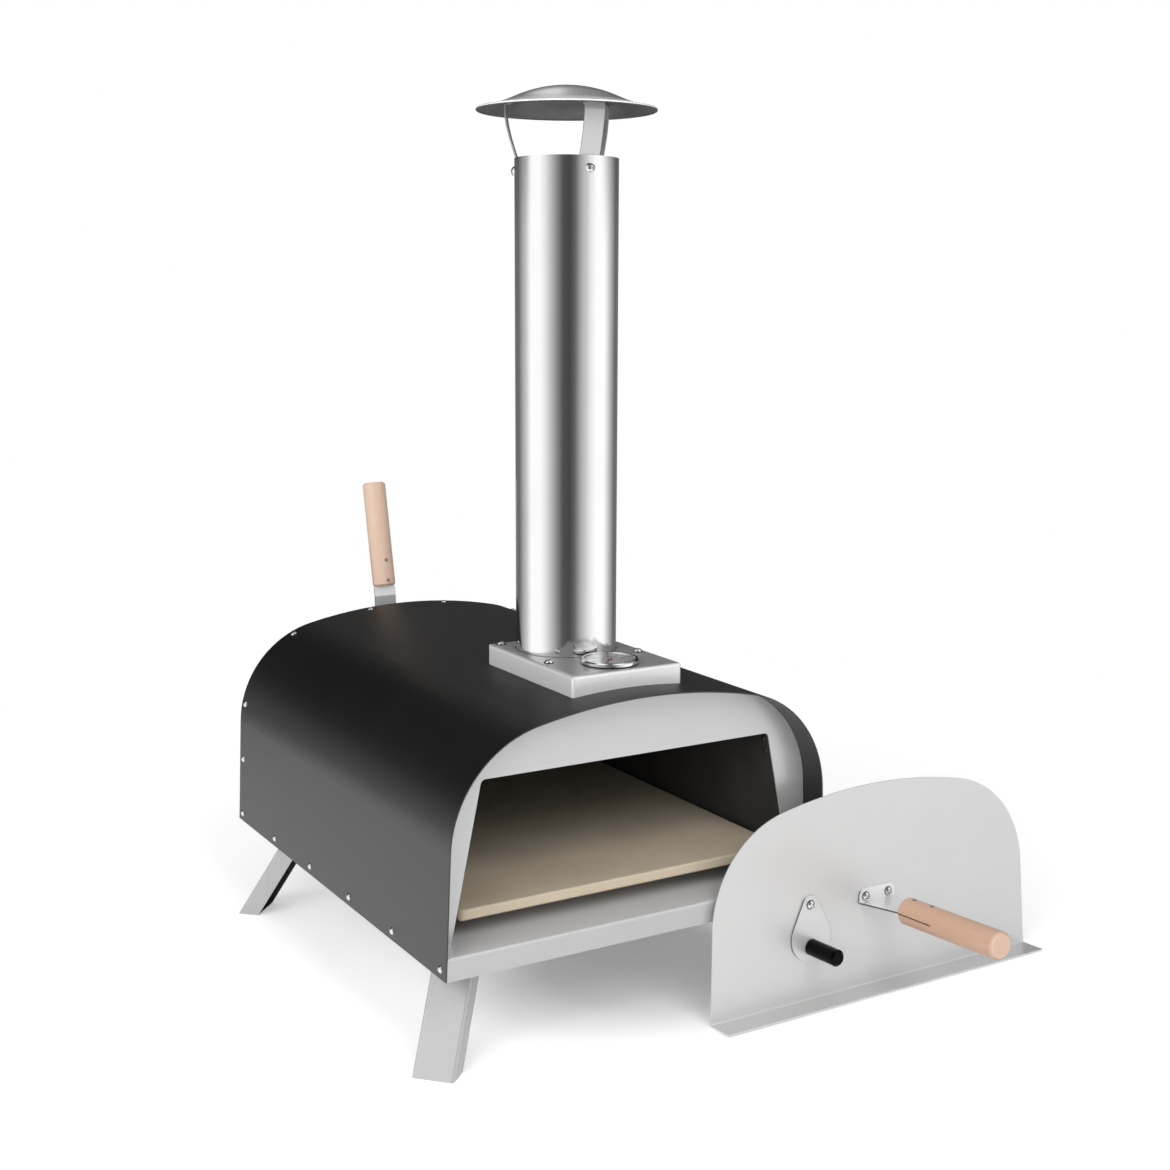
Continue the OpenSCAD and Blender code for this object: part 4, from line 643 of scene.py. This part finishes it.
def area_light(name, place, target, side, power):
    """A square light that points at a target and isn't seen in reflections."""
    data = bpy.data.lights.new(name, "AREA")
    data.size = side
    data.energy = power
    obj = bpy.data.objects.new(name, data)
    scene.collection.objects.link(obj)
    obj.location = place
    obj.rotation_euler = (Vector(target) - Vector(place)).to_track_quat("-Z", "Y").to_euler()
    obj.visible_glossy = False


area_light("top_softbox", (-0.2, -0.3, 2.2), (0, 0, 0), 1.6, 6)
area_light("left_softbox", (-2.0, -0.9, 1.3), (-0.1, 0, 0.15), 1.8, 36)
area_light("front_left_softbox", (-1.6, -2.2, 0.9), (0.1, -0.1, 0.2), 1.4, 12)
area_light("front_right_softbox", (0.9, -2.2, 0.7), (0, 0, 0.15), 1.2, 3)
area_light("front_top_softbox", (-0.1, -1.6, 1.5), (0, -0.2, 0.15), 0.9, 14)


STUDIO_TURN = math.radians(30.9)   # the studio's front, from -Y towards -X
SIDE_LIGHT = 0.72                  # light on matt surfaces, from the sides and from above
TOP_LIGHT = 0.26
# grey of the studio at an azimuth: 0 is its front, positive is to the right of that
WALLS = [
    (-180, 0.18), (-150, 0.16), (-132, 0.16), (-118, 0.38), (-100, 0.68), (-86, 1.15), (-60, 1.15),
    (-48, 0.94), (-34, 0.58), (-20, 0.28), (-8, 0.09), (8, 0.06), (20, 0.14), (34, 0.47), (48, 0.78),
    (62, 1.05), (72, 1.18), (94, 1.18), (108, 0.76), (120, 0.44), (138, 0.14), (150, 0.17), (180, 0.20)]
CEILING = [
    (-180, 0.25), (-177, 1.0), (-171, 1.0), (-166, 0.05), (-100, 0.02), (-80, 0.80), (0, 0.60), (90, 0.70),
    (120, 0.45), (150, 0.45), (162, 0.10), (175, 0.10), (180, 0.25)]
BAND = 0.02                        # grey of the dark band between them, behind the oven


def world():
    """White for the camera, an even light for matt surfaces, and for reflections a studio that stands
    still round the oven: white walls to the left and right, dark ones in front and behind, a pale
    ceiling and, behind the oven, a dark band below it."""
    made = bpy.data.worlds.new("studio")
    scene.world = made
    g = Graph(made)
    g.tree.nodes.clear()

    def degrees(angle):
        return g.maths("MULTIPLY", angle, 180/math.pi)

    def grey_by(angle, reach, stops):
        """A grey that changes with an angle between -reach and reach; each stop is (angle, grey)."""
        fraction = g.maths("DIVIDE", g.maths("SUBTRACT", angle, -reach), 2*reach)
        return g.ramp(fraction, [((stop + reach)/(2*reach), grey) for stop, grey in stops])

    def glow(colour):
        made = g.node("ShaderNodeBackground")
        g.feed(made.inputs["Color"], colour)
        return made.outputs[0]

    def either(factor, a, b):
        made = g.node("ShaderNodeMixShader")
        g.link(factor, made.inputs[0])
        g.link(a, made.inputs[1])
        g.link(b, made.inputs[2])
        return made.outputs[0]

    turn = g.node("ShaderNodeVectorRotate", rotation_type="Z_AXIS")
    turn.inputs["Angle"].default_value = STUDIO_TURN
    g.link(g.coordinate("Generated"), turn.inputs["Vector"])
    ray = g.node("ShaderNodeSeparateXYZ")
    g.link(turn.outputs["Vector"], ray.inputs[0])
    backward = g.maths("MULTIPLY", ray.outputs["Y"], -1.0)
    azimuth = degrees(g.maths("ARCTAN2", ray.outputs["X"], backward))
    elevation = degrees(g.maths("ARCSINE", ray.outputs["Z"]))
    # the dark band lies only behind the oven; in front of it the walls reach up to the ceiling
    behind = grey_by(azimuth, 180, [(-180, 1), (-98, 1), (-80, 0), (80, 0), (98, 1), (180, 1)])
    over_walls = grey_by(elevation, 90, [(-90, 0), (2, 0), (10, 1), (90, 1)])
    over_band = grey_by(elevation, 90, [(-90, 0), (24, 0), (36, 1), (90, 1)])
    above = g.mix(over_band, (BAND,)*3, grey_by(azimuth, 180, CEILING))
    reflected = g.mix(g.maths("MULTIPLY", over_walls, behind), grey_by(azimuth, 180, WALLS), above)
    # matt surfaces get more light from the sides than from above
    even = grey_by(elevation, 90, [(-90, SIDE_LIGHT), (15, SIDE_LIGHT), (60, TOP_LIGHT), (90, TOP_LIGHT)])

    path = g.node("ShaderNodeLightPath")
    mirror = g.maths("MAXIMUM", path.outputs["Is Glossy Ray"], path.outputs["Is Transmission Ray"])
    light = either(mirror, glow(even), glow(reflected))
    out = g.node("ShaderNodeOutputWorld")
    g.link(either(path.outputs["Is Camera Ray"], light, glow((1, 1, 1))), out.inputs["Surface"])


world()

CAMERA_PLACE = Vector((-0.76403, -1.41976, 0.65840))
CAMERA_YAW = math.radians(30.916)      # from +Y towards +X
CAMERA_PITCH = math.radians(9.983)     # downward
CAMERA_ROLL = math.radians(0.195)
CAMERA_LENS = 50.65                    # millimetres, for a sensor 36 wide


def place_camera():
    yaw, pitch, roll = CAMERA_YAW, CAMERA_PITCH, CAMERA_ROLL
    forward = Vector((math.sin(yaw)*math.cos(pitch), math.cos(yaw)*math.cos(pitch), -math.sin(pitch)))
    level = Vector((math.cos(yaw), -math.sin(yaw), 0))
    upward = level.cross(forward)
    right = level*math.cos(roll) + upward*math.sin(roll)
    up = upward*math.cos(roll) - level*math.sin(roll)
    data = bpy.data.cameras.new("camera")
    data.lens = CAMERA_LENS
    data.sensor_width = 36
    data.sensor_fit = "HORIZONTAL"
    camera = bpy.data.objects.new("camera", data)
    scene.collection.objects.link(camera)
    turned = Matrix((right, up, -forward)).transposed()
    camera.matrix_world = Matrix.Translation(CAMERA_PLACE) @ turned.to_4x4()
    scene.camera = camera


place_camera()
scene.view_settings.view_transform = "Standard"

bpy.context.view_layer.update()
